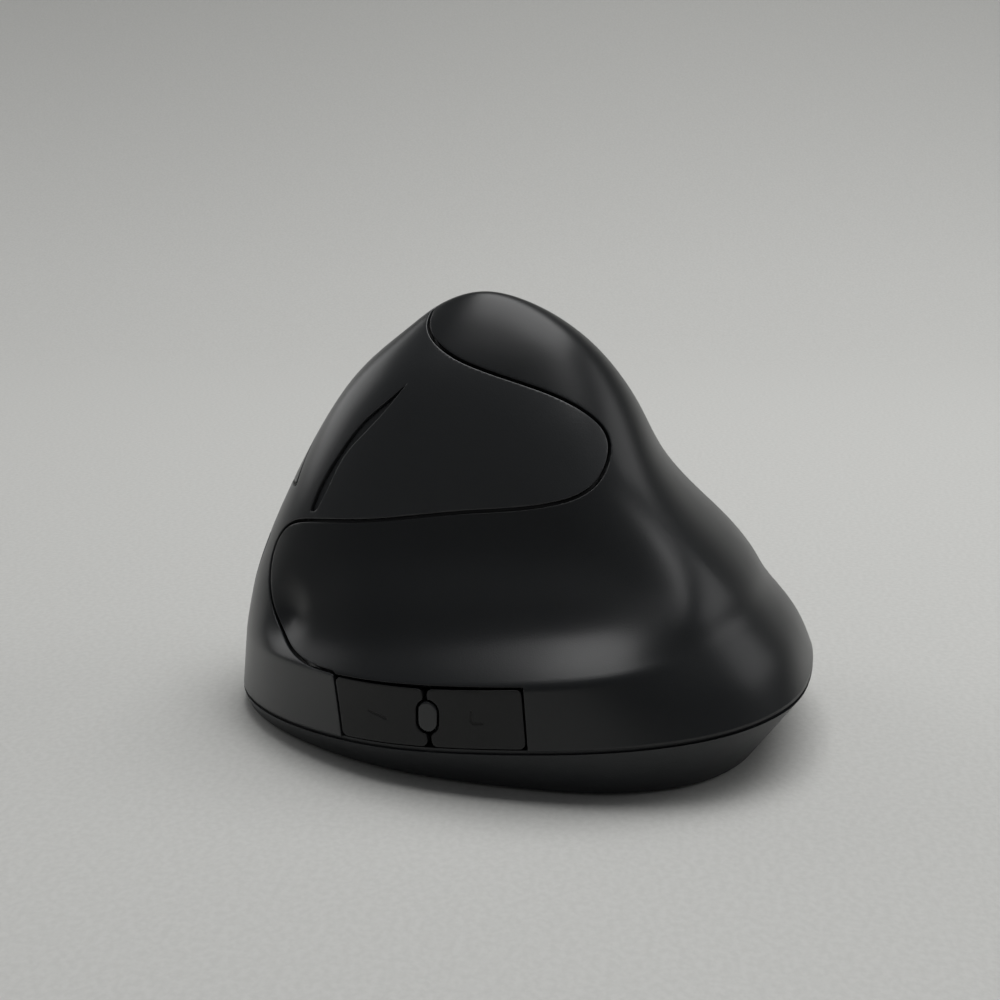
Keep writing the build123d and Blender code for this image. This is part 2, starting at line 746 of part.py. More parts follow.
with BuildSketch(axis_plane.offset(-wheel_width / 2)) as tyre_outline:
    Circle(wheel_radius)
    Circle(hub_radius, mode=Mode.SUBTRACT)
    with PolarLocations(wheel_radius, tyre_grooves):
        Rectangle(tyre_groove * 2, tyre_groove_width, mode=Mode.SUBTRACT)
with BuildPart() as scroll_tyre:
    extrude(tyre_outline.sketch, amount=wheel_width)
carrier_length = carrier_front + carrier_back
carrier_x = (carrier_front - carrier_back) / 2
with BuildPart() as wheel_carrier:
    for across in (-carrier_outer + carrier_wall / 2, carrier_outer - carrier_wall / 2):
        add(bar(finger_plane.offset(-carrier_bottom), carrier_x, across, carrier_length,
                carrier_wall, carrier_bottom - carrier_top))
    add(bar(finger_plane.offset(-bridge_top), bridge_length / 2 - carrier_back, 0,
            bridge_length, carrier_outer * 2,
            finger_board_depth - tact_height - tact_room - bridge_top, Align.MAX))
    add(rod(axis_plane.offset(-carrier_outer), 0, 0, axle_radius + axle_clearance,
            carrier_outer * 2), mode=Mode.SUBTRACT)
with BuildPart() as wheel_encoder:
    add(bar(axis_plane.offset(carrier_outer), 0, 0, encoder_side, encoder_side, encoder_width))
    add(rod(axis_plane.offset(carrier_outer), 0, 0, axle_radius + axle_clearance,
            encoder_width), mode=Mode.SUBTRACT)

# Pointer-speed button on the strip between the main buttons
dpi_plane = finger_plane.offset(-dpi_flange_top - dpi_flange_thickness)
dpi_post_depth = finger_board_depth - tact_height - tact_room
with BuildPart() as dpi_button:
    add(bar(dpi_plane, -dpi_back, dpi_rise, dpi_length, dpi_width, body_width))
    add(body_form.part, mode=Mode.INTERSECT, clean=False)
    add(bar(dpi_plane, -dpi_back, dpi_rise, dpi_length + dpi_flange_rim * 2,
            dpi_width + dpi_flange_rim * 2, dpi_flange_thickness), clean=False)
    add(rod(finger_plane.offset(-dpi_post_depth), -dpi_back, dpi_rise, dpi_post_radius,
            dpi_post_depth - dpi_flange_top), clean=False)

# Base: a tray whose flat rim meets the shells behind a shadow groove
spread_room = cell_radius + cradle_gap
hinge_y = cell_back_y + cell_length + cell_tip_length + knuckle_gap
hinge_z = foot_height + knuckle_radius
cell_front_y = cell_back_y + cell_length + cell_tip_length
door_back_y = cell_back_y - door_back_gap
window_back_y = door_back_y - door_gap
window_front_y = hinge_y + knuckle_radius + door_gap
cradle_back_y = cell_back_y - spring_reach - contact_thickness - cradle_end_wall
pocket_height = receiver_thickness + fit_gap
sole = Plane.XY.offset(foot_height)
above_floor = Plane.XY.offset(floor_z)
foot_spots = {"front": (front_foot_x, front_foot_y, front_foot_length, front_foot_width),
              "rear": (rear_foot_x, rear_foot_y, rear_foot_length, rear_foot_width)}
post_places = [(front_post_x, front_post_y), (middle_post_x, middle_post_y),
               (thumb_post_x, thumb_post_y)]
board_screw_z = board_height + board_thickness


def foot_form(name, gap, plane, height):
    x, y, length, width = foot_spots[name]
    with BuildSketch(plane) as outline:
        with Locations((x, y)):
            SlotOverall(length + gap * 2, width + gap * 2)
    return extrude(outline.sketch, amount=height)


with BuildPart() as base_form:
    loft(sections=[sole_ring(foot_height, 0.0), station_ring(0, 0.0, groove_height)],
         ruled=True, clean=False)
with BuildPart() as base_rim:
    loft(sections=[station_ring(0, groove_depth, groove_height), station_ring(0, groove_depth)],
         ruled=True, clean=False)
with BuildPart() as base_room:
    loft(sections=[sole_ring(floor_z, wall), station_ring(0, wall)], ruled=True, clean=False)
with BuildPart() as base_shell:
    add(base_form.part, clean=False)
    add(base_rim.part, clean=False)
    add(base_room.part, mode=Mode.SUBTRACT, clean=False)
    # Battery cradle
    for across in (-1, 1):
        add(bar(sole, cell_x + across * (spread_room + cradle_wall / 2),
                (cradle_back_y + window_front_y + cradle_wall) / 2, cradle_wall,
                window_front_y + cradle_wall - cradle_back_y, cradle_height), clean=False)
    add(bar(sole, cell_x, cradle_back_y + cradle_end_wall / 2, spread_room * 2 + cradle_wall,
            cradle_end_wall, cradle_height), clean=False)
    add(bar(Plane.XY.offset(hinge_z + knuckle_radius + door_gap), cell_x,
            cell_front_y + contact_thickness + cradle_end_wall / 2,
            spread_room * 2 + cradle_wall, cradle_end_wall,
            cradle_height + foot_height - hinge_z - knuckle_radius - door_gap), clean=False)
    add(bar(Plane.XY, cell_x, (window_back_y + window_front_y) / 2, spread_room * 2,
            window_front_y - window_back_y, floor_z), mode=Mode.SUBTRACT, clean=False)
    add(rod(Plane((cell_x - spread_room - hinge_pin_length, hinge_y, hinge_z),
                  z_dir=(1, 0, 0)), 0, 0, hinge_pin_radius + hinge_clearance,
            (spread_room + hinge_pin_length) * 2), mode=Mode.SUBTRACT, clean=False)
    # Posts of the main board
    for x, y in post_places:
        add(rod(sole, x, y, board_post_radius, board_height - foot_height), clean=False)
        add(rod(Plane.XY.offset(board_screw_z - board_screw_length - screw_clearance), x, y,
                board_screw_radius + pilot_clearance, board_height), mode=Mode.SUBTRACT,
            clean=False)
    # Pocket of the radio receiver
    add(bar(sole, receiver_x, receiver_y, receiver_width + (fit_gap + pocket_wall) * 2,
            receiver_length + (fit_gap + pocket_wall) * 2, pocket_height + pocket_wall),
        clean=False)
    add(bar(Plane.XY, receiver_x, receiver_y, receiver_width + fit_gap * 2,
            receiver_length + fit_gap * 2, foot_height + pocket_height), mode=Mode.SUBTRACT,
        clean=False)
    # Sensor window, power switch slot, case screws and foot inlays
    add(rod(Plane.XY, sensor_x, sensor_y, sensor_hole_radius, floor_z), mode=Mode.SUBTRACT,
        clean=False)
    add(bar(Plane.XY, switch_x, switch_y, knob_width + fit_gap * 2,
            knob_length + knob_throw + fit_gap * 2, floor_z), mode=Mode.SUBTRACT, clean=False)
    for x, y in front_places + grip_places:
        add(rod(Plane.XY, x, y, screw_head_radius + screw_clearance, screw_seat_z),
            mode=Mode.SUBTRACT, clean=False)
        add(rod(Plane.XY, x, y, screw_radius + screw_clearance, floor_z), mode=Mode.SUBTRACT,
            clean=False)
    for name in foot_spots:
        add(foot_form(name, foot_gap, Plane.XY, foot_thickness), mode=Mode.SUBTRACT, clean=False)

with BuildPart() as front_foot:
    add(foot_form("front", 0, Plane.XY, foot_thickness))
with BuildPart() as rear_foot:
    add(foot_form("rear", 0, Plane.XY, foot_thickness))

with BuildPart() as case_screws:
    for x, y in front_places + grip_places:
        add(rod(Plane.XY.offset(foot_height + screw_sink), x, y, screw_head_radius,
                screw_head_height))
        add(rod(Plane.XY.offset(screw_seat_z), x, y, screw_radius, screw_length))
with BuildPart() as board_screws:
    for x, y in post_places:
        add(rod(Plane.XY.offset(board_screw_z), x, y, board_screw_head_radius,
                board_screw_head_height))
        add(rod(Plane.XY.offset(board_screw_z - board_screw_length), x, y, board_screw_radius,
                board_screw_length))

# Main board, optical sensor and power switch
with BuildPart() as main_board:
    extrude(station_ring(0, board_edge), amount=body_height, dir=(0, 0, 1), both=True)
    add(bar(Plane.XY.offset(board_height), 0, 0, body_width, body_length, board_thickness),
        mode=Mode.INTERSECT, clean=False)
    add(bar(Plane.XY, board_right_x / 2 - half_width / 2, (board_front_y + board_rear_y) / 2,
            half_width + board_right_x, board_front_y - board_rear_y, body_height),
        mode=Mode.INTERSECT, clean=False)
    for x, y in front_places + grip_places:
        add(rod(Plane.XY, x, y, boss_radius + board_boss_gap, body_height), mode=Mode.SUBTRACT,
            clean=False)
    for x, y in post_places:
        add(rod(Plane.XY, x, y, board_screw_radius + screw_clearance, body_height),
            mode=Mode.SUBTRACT, clean=False)
with BuildPart() as optical_sensor:
    add(bar(Plane.XY.offset(board_height), sensor_x, sensor_y, sensor_width, sensor_length,
            sensor_height, Align.MAX))
with BuildPart() as sensor_lens:
    add(bar(above_floor, sensor_x, sensor_y, lens_plate_width, lens_plate_length,
            lens_plate_height))
    add(rod(Plane.XY.offset(floor_z - lens_boss_drop), sensor_x, sensor_y, lens_boss_radius,
            lens_boss_drop))
with BuildPart() as power_switch_body:
    add(bar(Plane.XY.offset(board_height), switch_x, switch_y, power_switch_width,
            power_switch_length, power_switch_height, Align.MAX))
    add(bar(Plane.XY, switch_x, switch_y, knob_neck_width + fit_gap * 2,
            knob_length + knob_throw + fit_gap * 2, foot_height + knob_neck_rise + fit_gap),
        mode=Mode.SUBTRACT)
knob_y = switch_y + knob_throw / 2
with BuildPart() as power_switch_knob:
    add(bar(Plane.XY.offset(foot_height + knob_sink), switch_x, knob_y, knob_width, knob_length,
            wall))
    add(bar(Plane.XY.offset(foot_height + knob_sink), switch_x, knob_y, knob_neck_width,
            knob_length, knob_neck_rise - knob_sink))

# Battery, its contacts and its door
cell_plane = Plane((cell_x, cell_back_y, cell_z), x_dir=(1, 0, 0), z_dir=(0, 1, 0))
with BuildPart() as battery_cell:
    add(rod(cell_plane, 0, 0, cell_radius, cell_length))
    add(rod(cell_plane.offset(cell_length), 0, 0, cell_tip_radius, cell_tip_length))
with BuildPart() as positive_contact:
    add(bar(Plane((cell_x, cell_front_y, cell_z), z_dir=(0, 1, 0)), 0, 0, contact_width,
            contact_width, contact_thickness))
plate_y = cell_back_y - spring_reach - contact_thickness
tongue_half = contact_height / 2
with BuildSketch(Plane.YZ.offset(cell_x)) as tongue_outline:
    with BuildLine():
        Polyline((plate_y, cell_z + tongue_half), (plate_y, cell_z - tongue_half),
                 (plate_y + contact_thickness, cell_z - tongue_half),
                 (cell_back_y, cell_z), (cell_back_y - contact_thickness, cell_z + contact_thickness),
                 (plate_y + contact_thickness, cell_z - tongue_half + contact_thickness * 2),
                 (plate_y + contact_thickness, cell_z + tongue_half), close=True)
    make_face()
with BuildPart() as negative_contact:
    extrude(tongue_outline.sketch, amount=contact_width / 2, both=True)
door_width = (spread_room - door_gap) * 2
with BuildPart() as battery_door:
    add(bar(sole, cell_x, (door_back_y + hinge_y) / 2, door_width, hinge_y - door_back_y,
            door_thickness))
    add(rod(Plane((cell_x - door_width / 2, hinge_y, hinge_z), z_dir=(1, 0, 0)), 0, 0,
            knuckle_radius, door_width))
    add(rod(Plane((cell_x - spread_room - hinge_pin_length + hinge_clearance, hinge_y, hinge_z),
                  z_dir=(1, 0, 0)), 0, 0, hinge_pin_radius,
            (spread_room + hinge_pin_length - hinge_clearance) * 2))
    add(bar(sole, cell_x, door_back_y + nail_notch_length / 2, nail_notch_width,
            nail_notch_length, nail_notch_depth), mode=Mode.SUBTRACT)

# Radio receiver in its pocket: a plug with a hollow metal sleeve and a cap
cap_y = receiver_y - receiver_length / 2 + receiver_cap_length / 2
plug_length = receiver_length - receiver_cap_length
plug_y = receiver_y + receiver_length / 2 - plug_length / 2
with BuildPart() as usb_receiver:
    add(bar(sole, receiver_x, cap_y, receiver_width, receiver_cap_length, receiver_thickness))
    add(bar(sole, receiver_x, plug_y, plug_width, plug_length, plug_thickness))
    add(bar(Plane.XY.offset(foot_height + plug_thickness / 2), receiver_x, plug_y,
            plug_width - plug_wall * 2, plug_length, plug_thickness / 2 - plug_wall),
        mode=Mode.SUBTRACT)

pieces = {
    "front_cover": front_cover, "grip_shell": grip_shell, "base_shell": base_shell,
    "left_button": left_button, "right_button": right_button,
    "front_side_button": front_side_button, "rear_side_button": rear_side_button,
    "side_indicator_lens": side_indicator_lens, "indicator_strip": indicator_strip,
    "scroll_wheel": scroll_wheel, "scroll_tyre": scroll_tyre, "wheel_carrier": wheel_carrier,
    "wheel_encoder": wheel_encoder, "dpi_button": dpi_button, "finger_board": finger_board,
    "finger_frame": finger_frame_whole, "left_switch": left_switch,
    "right_switch": right_switch, "wheel_switch": wheel_switch, "dpi_switch": dpi_switch,
    "side_board": side_board, "side_switches": side_switches, "main_board": main_board,
    "optical_sensor": optical_sensor, "sensor_lens": sensor_lens,
    "power_switch_body": power_switch_body, "power_switch_knob": power_switch_knob,
    "battery_cell": battery_cell, "positive_contact": positive_contact,
    "negative_contact": negative_contact, "battery_door": battery_door,
    "usb_receiver": usb_receiver, "front_foot": front_foot, "rear_foot": rear_foot,
    "case_screws": case_screws, "board_screws": board_screws,
}
os.makedirs("parts", exist_ok=True)
for name, piece in pieces.items():
    piece.part.label = name
    export_step(piece.part, "parts/" + name + ".step")
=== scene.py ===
import math
from collections import namedtuple

import bpy
import numpy as np
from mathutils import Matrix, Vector


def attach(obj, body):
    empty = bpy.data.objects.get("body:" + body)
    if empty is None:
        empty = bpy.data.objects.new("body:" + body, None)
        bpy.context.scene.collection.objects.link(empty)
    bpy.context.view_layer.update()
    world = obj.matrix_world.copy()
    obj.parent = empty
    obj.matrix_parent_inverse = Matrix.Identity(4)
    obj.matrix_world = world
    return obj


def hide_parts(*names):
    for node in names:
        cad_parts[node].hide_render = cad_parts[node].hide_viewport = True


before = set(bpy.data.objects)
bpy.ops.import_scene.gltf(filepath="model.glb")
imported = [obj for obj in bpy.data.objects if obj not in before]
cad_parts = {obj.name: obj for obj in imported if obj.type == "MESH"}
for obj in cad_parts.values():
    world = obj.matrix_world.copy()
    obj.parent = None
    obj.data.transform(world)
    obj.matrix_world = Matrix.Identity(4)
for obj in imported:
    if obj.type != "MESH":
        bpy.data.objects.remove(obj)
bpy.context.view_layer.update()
MM = 0.001

# Camera at the photograph's viewing angle
CAMERA_PLACE = Vector((-0.2506, -0.0404, 0.1066))
CAMERA_AIM = Vector((0.0015, 0.00405, 0.038))
LENS_LENGTH = 54.0
SENSOR_WIDTH = 36.0
NEAREST_SEEN = 0.01
FURTHEST_SEEN = 20.0

camera_data = bpy.data.cameras.new("camera")
camera_data.lens = LENS_LENGTH
camera_data.sensor_width = SENSOR_WIDTH
camera_data.clip_start = NEAREST_SEEN
camera_data.clip_end = FURTHEST_SEEN
camera = bpy.data.objects.new("camera", camera_data)
bpy.context.scene.collection.objects.link(camera)
camera.location = CAMERA_PLACE
camera.rotation_euler = (CAMERA_AIM - CAMERA_PLACE).to_track_quat("-Z", "Y").to_euler()
bpy.context.scene.camera = camera

# Overall size of the mouse, in millimetres like all sizes of the hand form
LENGTH = 103.0
WIDTH = 79.0
HEIGHT = 75.0
HALF_LENGTH = LENGTH / 2
HALF_WIDTH = WIDTH / 2

# Outlines of the hand form from the base joint to the crown, as shares of the overall size
Station = namedtuple("Station", "height fall front rear thumb finger middle_y middle_x "
                     "front_thumb front_finger rear_thumb rear_finger dent")
STATIONS = [Station(*row) for row in (
    (0.1115, 0.090, 1.000, -1.000, -1.000, 1.000, -0.213, 0.038, 1.82, 2.1, 2.75, 2.2, 0.000),
    (0.1790, 0.105, 0.991, -0.950, -0.990, 0.997, -0.193, 0.038, 1.82, 2.1, 2.62, 1.95, 0.000),
    (0.2465, 0.120, 0.982, -0.866, -0.980, 0.987, -0.154, 0.038, 1.80, 2.1, 2.60, 1.90, 0.000),
    (0.2732, 0.120, 0.976, -0.838, -0.886, 0.975, -0.154, 0.038, 1.95, 2.2, 2.62, 1.90, 0.000),
    (0.3129, 0.115, 0.964, -0.806, -0.772, 0.957, -0.154, 0.038, 2.20, 2.2, 2.65, 1.95, 0.025),
    (0.3793, 0.110, 0.941, -0.735, -0.658, 0.914, -0.135, 0.038, 2.40, 2.2, 2.80, 2.05, 0.051),
    (0.4720, 0.100, 0.888, -0.612, -0.582, 0.843, -0.096, 0.038, 2.50, 2.2, 2.75, 2.15, 0.038),
    (0.5910, 0.080, 0.795, -0.481, -0.519, 0.722, -0.018, 0.038, 2.60, 2.2, 2.60, 2.2, 0.000),
    (0.7227, 0.050, 0.673, -0.391, -0.430, 0.557, 0.059, 0.038, 2.60, 2.2, 2.40, 2.2, 0.000),
    (0.8416, 0.030, 0.525, -0.283, -0.317, 0.380, 0.117, 0.013, 2.50, 2.2, 2.20, 2.2, 0.000),
    (0.9205, 0.010, 0.374, -0.170, -0.203, 0.210, 0.108, -0.013, 2.30, 2.2, 2.30, 2.2, 0.000),
    (0.9760, 0.000, 0.253, -0.032, -0.101, 0.076, 0.114, -0.013, 2.10, 2.1, 2.10, 2.1, 0.000),
)]
CROWN = (-0.013 * HALF_WIDTH, 0.117 * HALF_LENGTH, HEIGHT)
JOINT_STATION = STATIONS[0]
CREASE = 2
CREASE_STATION = STATIONS[CREASE]
DENT_MIDDLE = -0.077 * HALF_LENGTH
DENT_REACH = 0.49 * HALF_LENGTH

# How finely the hand form is laid out
RING_POINTS = 20
COLUMNS = 440
EVEN_STATION = 4
EVEN_STEPS = 4001
BAND_SPACING = 0.55
RISE_SPACING = 0.62
SPACING_PERCENTILE = 80

# The crease rises towards the front button
CREASE_LIFT = 1.3
LIFT_MIDDLE = 36.0
LIFT_REACH = 22.0
LIFT_SHARES = {1: 0.5, 2: 1.0, 3: 0.6}

# The wall behind the scoop is fuller, and the lip above the scoop rolls over in front
THUMB_SIDE_BLEND = 14.0
REAR_MIDDLE = -31.0
REAR_REACH = 10.0
REAR_PUSHES = {1: -0.5, 2: -1.5, 3: 0.5, 4: 2.9, 5: 3.6, 6: 3.2, 7: 1.6, 8: 0.4}
LIP_START = -18.0
LIP_START_EASE = 3.0
LIP_END = 27.0
LIP_END_EASE = 4.0
LIP_PUSHES = {3: 1.2, 4: 2.6, 5: 4.0, 6: 1.8}

# The crease is eased over a few rows
CREASE_TURNS = 2
CREASE_WEIGHT = 1.2
CREASE_FADE = 2.5

# The small hollow in which the thumb scoop ends near the nose
SCOOP_END = np.array([-18.8, 36.8, 22.0])
SCOOP_END_DEPTH = 1.1
SCOOP_END_REACH = 3.0


def ring_points(front, rear, left, right, middle_y, middle_x, fullness, dent):
    """The points that an outline is laid through: an egg of its own fullness at each corner."""
    angle = 2 * np.pi * np.arange(RING_POINTS) / RING_POINTS
    across = np.cos(angle)
    along = np.sin(angle)
    to_front = (1 + along) / 2
    to_right = (1 + across) / 2
    front_part = (1 - to_right) * fullness[0] + to_right * fullness[1]
    rear_part = (1 - to_right) * fullness[2] + to_right * fullness[3]
    power = 2 / (to_front * front_part + (1 - to_front) * rear_part)
    reach_x = np.where(across > 0, right - middle_x, middle_x - left)
    reach_y = np.where(along > 0, front - middle_y, middle_y - rear)
    x = middle_x + reach_x * np.sign(across) * np.abs(across) ** power
    y = middle_y + reach_y * np.sign(along) * np.abs(along) ** power
    from_dent = (y - DENT_MIDDLE) / DENT_REACH
    x = x + dent * np.exp(-from_dent ** 2) * np.maximum(0, -across)
    return np.stack([x, y], 1)


def station_points(station):
    """The points of one station's outline, seen from above."""
    fullness = (station.front_thumb, station.front_finger, station.rear_thumb, station.rear_finger)
    return ring_points(station.front * HALF_LENGTH, station.rear * HALF_LENGTH,
                       station.thumb * HALF_WIDTH, station.finger * HALF_WIDTH,
                       station.middle_y * HALF_LENGTH, station.middle_x * HALF_WIDTH,
                       fullness, station.dent * HALF_WIDTH)


def cubic(knots, values, wanted, periodic=False):
    """A smooth cubic curve through values at knots, read at the wanted places."""
    knots = np.asarray(knots, float)
    values = np.asarray(values, float)
    last = len(knots) - 1
    step = np.diff(knots)
    flat = values.reshape(last + 1, -1)
    matrix = np.zeros((last + 1, last + 1))
    right = np.zeros((last + 1, flat.shape[1]))
    slope = np.diff(flat, axis=0) / step[:, None]
    for i in range(1, last):
        matrix[i, i - 1] = step[i - 1]
        matrix[i, i] = 2 * (step[i - 1] + step[i])
        matrix[i, i + 1] = step[i]
        right[i] = 6 * (slope[i] - slope[i - 1])
    if periodic:
        matrix[0, 0] = 2 * (step[0] + step[-1])
        matrix[0, 1] = step[0]
        matrix[0, last - 1] = step[-1]
        right[0] = 6 * (slope[0] - slope[-1])
        matrix[last, last] = 1
        matrix[last, 0] = -1
    else:
        matrix[0, 0] = 1
        matrix[last, last] = 1
    bend = np.linalg.solve(matrix, right)
    wanted = np.asarray(wanted, float)
    at = np.clip(np.searchsorted(knots, wanted, side="right") - 1, 0, last - 1)
    span = step[at][:, None]
    a = (knots[at + 1] - wanted)[:, None] / span
    b = 1 - a
    out = (a * flat[at] + b * flat[at + 1]
           + ((a ** 3 - a) * bend[at] + (b ** 3 - b) * bend[at + 1]) * span * span / 6)
    return out.reshape((len(wanted),) + values.shape[1:])


def smooth_ring(points, places):
    """A closed smooth outline through points, read at places counted in points."""
    closed = np.vstack([points, points[:1]])
    return cubic(np.arange(RING_POINTS + 1), closed, places, periodic=True)


def run_along(points):
    """The length of a line of points, up to each of them."""
    steps = np.linalg.norm(np.diff(points, axis=0), axis=1)
    return np.concatenate([[0], np.cumsum(steps)])


def even_places():
    """Places round the ring that lie evenly along the outline of a middle station."""
    dense = np.linspace(0, RING_POINTS, EVEN_STEPS)
    run = run_along(smooth_ring(station_points(STATIONS[EVEN_STATION]), dense))
    return np.interp(np.arange(COLUMNS) / COLUMNS * run[-1], run, dense)


def station_z(station, y):
    """The height of a station's level, which falls towards the nose."""
    return station.height * HEIGHT - station.fall * y


def crease_lift(y):
    """How far the crease rises near the front button."""
    return CREASE_LIFT * np.exp(-((y - LIFT_MIDDLE) / LIFT_REACH) ** 2)


def station_ring(number, places):
    """One station's outline in space, with its lift and its pushes on the thumb side."""
    station = STATIONS[number]
    flat = smooth_ring(station_points(station), places)
    x = flat[:, 0]
    y = flat[:, 1]
    thumb_side = np.clip((CROWN[0] - x) / THUMB_SIDE_BLEND, 0, 1)
    lift = LIFT_SHARES.get(number, 0) * crease_lift(y) * thumb_side
    rear = np.exp(-((y - REAR_MIDDLE) / REAR_REACH) ** 2)
    past_start = 1 / (1 + np.exp(-(y - LIP_START) / LIP_START_EASE))
    lip = past_start / (1 + np.exp((y - LIP_END) / LIP_END_EASE))
    push = REAR_PUSHES.get(number, 0) * rear + LIP_PUSHES.get(number, 0) * lip
    return np.column_stack([x - push * thumb_side, y, station_z(station, y) + lift])


def spaced_rows(sections, used, spacing):
    """Rows of points along smooth curves through the sections, evenly spaced."""
    gaps = np.linalg.norm(np.diff(sections, axis=0), axis=2)
    knots = np.concatenate([[0], np.cumsum(gaps.mean(1))])
    wanted = []
    for k in range(used - 1):
        count = max(2, int(math.ceil(np.percentile(gaps[k], SPACING_PERCENTILE) / spacing)))
        wanted.extend(np.linspace(knots[k], knots[k + 1], count, endpoint=False))
    wanted.append(knots[used - 1])
    return cubic(knots, sections, wanted)


def grid_normals(grid):
    """The outward direction at each point of a grid of rows."""
    along = np.roll(grid, -1, axis=1) - np.roll(grid, 1, axis=1)
    up = np.empty_like(grid)
    up[1:-1] = grid[2:] - grid[:-2]
    up[0] = grid[1] - grid[0]
    up[-1] = grid[-1] - grid[-2]
    normal = np.cross(along, up)
    normal[-1] = normal[-3].mean(0)
    length = np.linalg.norm(normal, axis=2, keepdims=True)
    return normal / np.maximum(length, 1e-9)


def eased_crease(grid, crease):
    """The grid with its rows next to the crease drawn a little towards each other."""
    rows = np.arange(len(grid))
    weight = np.clip(CREASE_WEIGHT - np.abs(rows - crease) / CREASE_FADE, 0, 1)[:, None, None]
    for turn in range(CREASE_TURNS):
        eased = grid.copy()
        eased[1:-1] = (grid[:-2] + 2 * grid[1:-1] + grid[2:]) / 4
        grid = grid * (1 - weight) + eased * weight
    return grid


def scoop_end(grid):
    """The depth of the hollow in which the thumb scoop ends."""
    away = np.linalg.norm(grid - SCOOP_END, axis=2)
    return SCOOP_END_DEPTH * np.exp(-away ** 2 / (2 * SCOOP_END_REACH ** 2))


def body_grid():
    """Rows of points over the whole form, from the base joint to the crown."""
    places = even_places()
    rings = [station_ring(k, places) for k in range(len(STATIONS))]
    band = spaced_rows(np.array(rings[:CREASE + 1]), CREASE + 1, BAND_SPACING)
    apex = np.tile(np.array(CROWN), (COLUMNS, 1))
    half_turn = COLUMNS // 2
    beyond = [np.roll(rings[-1], half_turn, axis=0), np.roll(rings[-2], half_turn, axis=0)]
    upper = np.array(rings[CREASE:] + [apex] + beyond)
    rise = spaced_rows(upper, len(upper) - 2, RISE_SPACING)
    grid = eased_crease(np.concatenate([band, rise[1:]]), len(band) - 1)
    return grid - grid_normals(grid) * scoop_end(grid)[:, :, None]


def grid_triangles():
    """Triangles between the rows of the grid, with a fan to the crown's one point."""
    row, column = np.meshgrid(np.arange(ROWS - 2), np.arange(COLUMNS), indexing="ij")
    a = row * COLUMNS + column
    b = row * COLUMNS + (column + 1) % COLUMNS
    c = b + COLUMNS
    d = a + COLUMNS
    first = np.stack([a, b, c], -1).reshape(-1, 3)
    second = np.stack([a, c, d], -1).reshape(-1, 3)
    top = (ROWS - 2) * COLUMNS + np.arange(COLUMNS)
    next_top = (ROWS - 2) * COLUMNS + (np.arange(COLUMNS) + 1) % COLUMNS
    fan = np.stack([top, next_top, np.full(COLUMNS, len(POINTS) - 1)], -1)
    return np.vstack([first, second, fan])


GRID = body_grid()
ROWS = len(GRID)
POINTS = np.vstack([GRID[:-1].reshape(-1, 3), GRID[-1, :1]])
POINT_NORMALS = np.vstack([grid_normals(GRID)[:-1].reshape(-1, 3), [[0, 0, 1]]])
TRIANGLES = grid_triangles()
THUMB = POINTS[:, 0] < CROWN[0]

# Seam outlines in the side view (along, up) and the nose view (across, up), as shares
LEAF = [(0.283, 0.982), (0.300, 0.932), (0.241, 0.888), (0.120, 0.852), (-0.060, 0.816),
        (-0.228, 0.766), (-0.318, 0.694), (-0.295, 0.632), (-0.170, 0.588), (0.110, 0.561),
        (0.400, 0.530), (0.630, 0.506), (0.742, 0.482), (0.812, 0.420), (0.824, 0.350),
        (0.790, 0.280), (0.712, 0.233), (0.600, 0.216), (0.510, 0.218)]
SIDE_WINDOW = [(0.502, 0.215), (0.471, 0.080), (-0.147, 0.110), (-0.128, 0.265)]
SPLIT_TOP = 0.183
SPLIT_LOW = 0.160
PALM_SEAM = [(0.283, 0.982), (0.150, 0.900), (0.030, 0.800), (-0.090, 0.670), (-0.150, 0.520),
             (-0.140, 0.360), (-0.050, 0.220), (0.090, 0.100)]
UPPER_WINDOW = [(-0.080, 0.602), (0.035, 0.767), (0.250, 0.900), (1.100, 0.900), (1.100, 0.531)]
UPPER_NOSE = [(-0.270, 0.480), (-0.225, 0.550), (-0.060, 0.690), (0.080, 0.880)]
LOWER_WINDOW = [(-0.085, 0.478), (-0.085, 0.360), (-0.020, 0.272), (1.100, 0.205), (1.100, 0.413)]
LOWER_NOSE = -0.150
SLOT_FRONT = [(0.332, 0.816), (0.402, 0.773), (0.470, 0.733), (0.546, 0.669),
              (0.583, 0.631), (0.652, 0.539), (0.662, 0.517)]
SLOT_REAR = [(0.637, 0.521), (0.594, 0.577), (0.542, 0.648), (0.476, 0.700),
             (0.400, 0.757), (0.332, 0.816)]

# Sizes at the seams, in millimetres
WINDOW_RADII = [3, 3, 3, 0, 0]
SIDE_RADIUS = 0.9
SEAM_GAP = 0.6
BUTTON_GAP = 0.6
SIDE_GAP = 0.36
STRIP_GAP = 0.05
PILL_Y = 8.8
PILL_Z = 12.8
PILL_HALF_HEIGHT = 0.9
PILL_RADIUS = 1.6
OVERRUN = 5
LEFT_RIGHT_BLEND = 3.0
OUT_OF_REACH = 9.0

# How seam outlines are laid out and measured
SIDE_VIEW = [1, 2]
NOSE_VIEW = [0, 2]
CURVE_POINTS = 130
SLOT_CURVE_POINTS = 60
ARC_POINTS = 12
POINTS_AT_ONCE = 6000
LEAST_SPREAD = 0.12

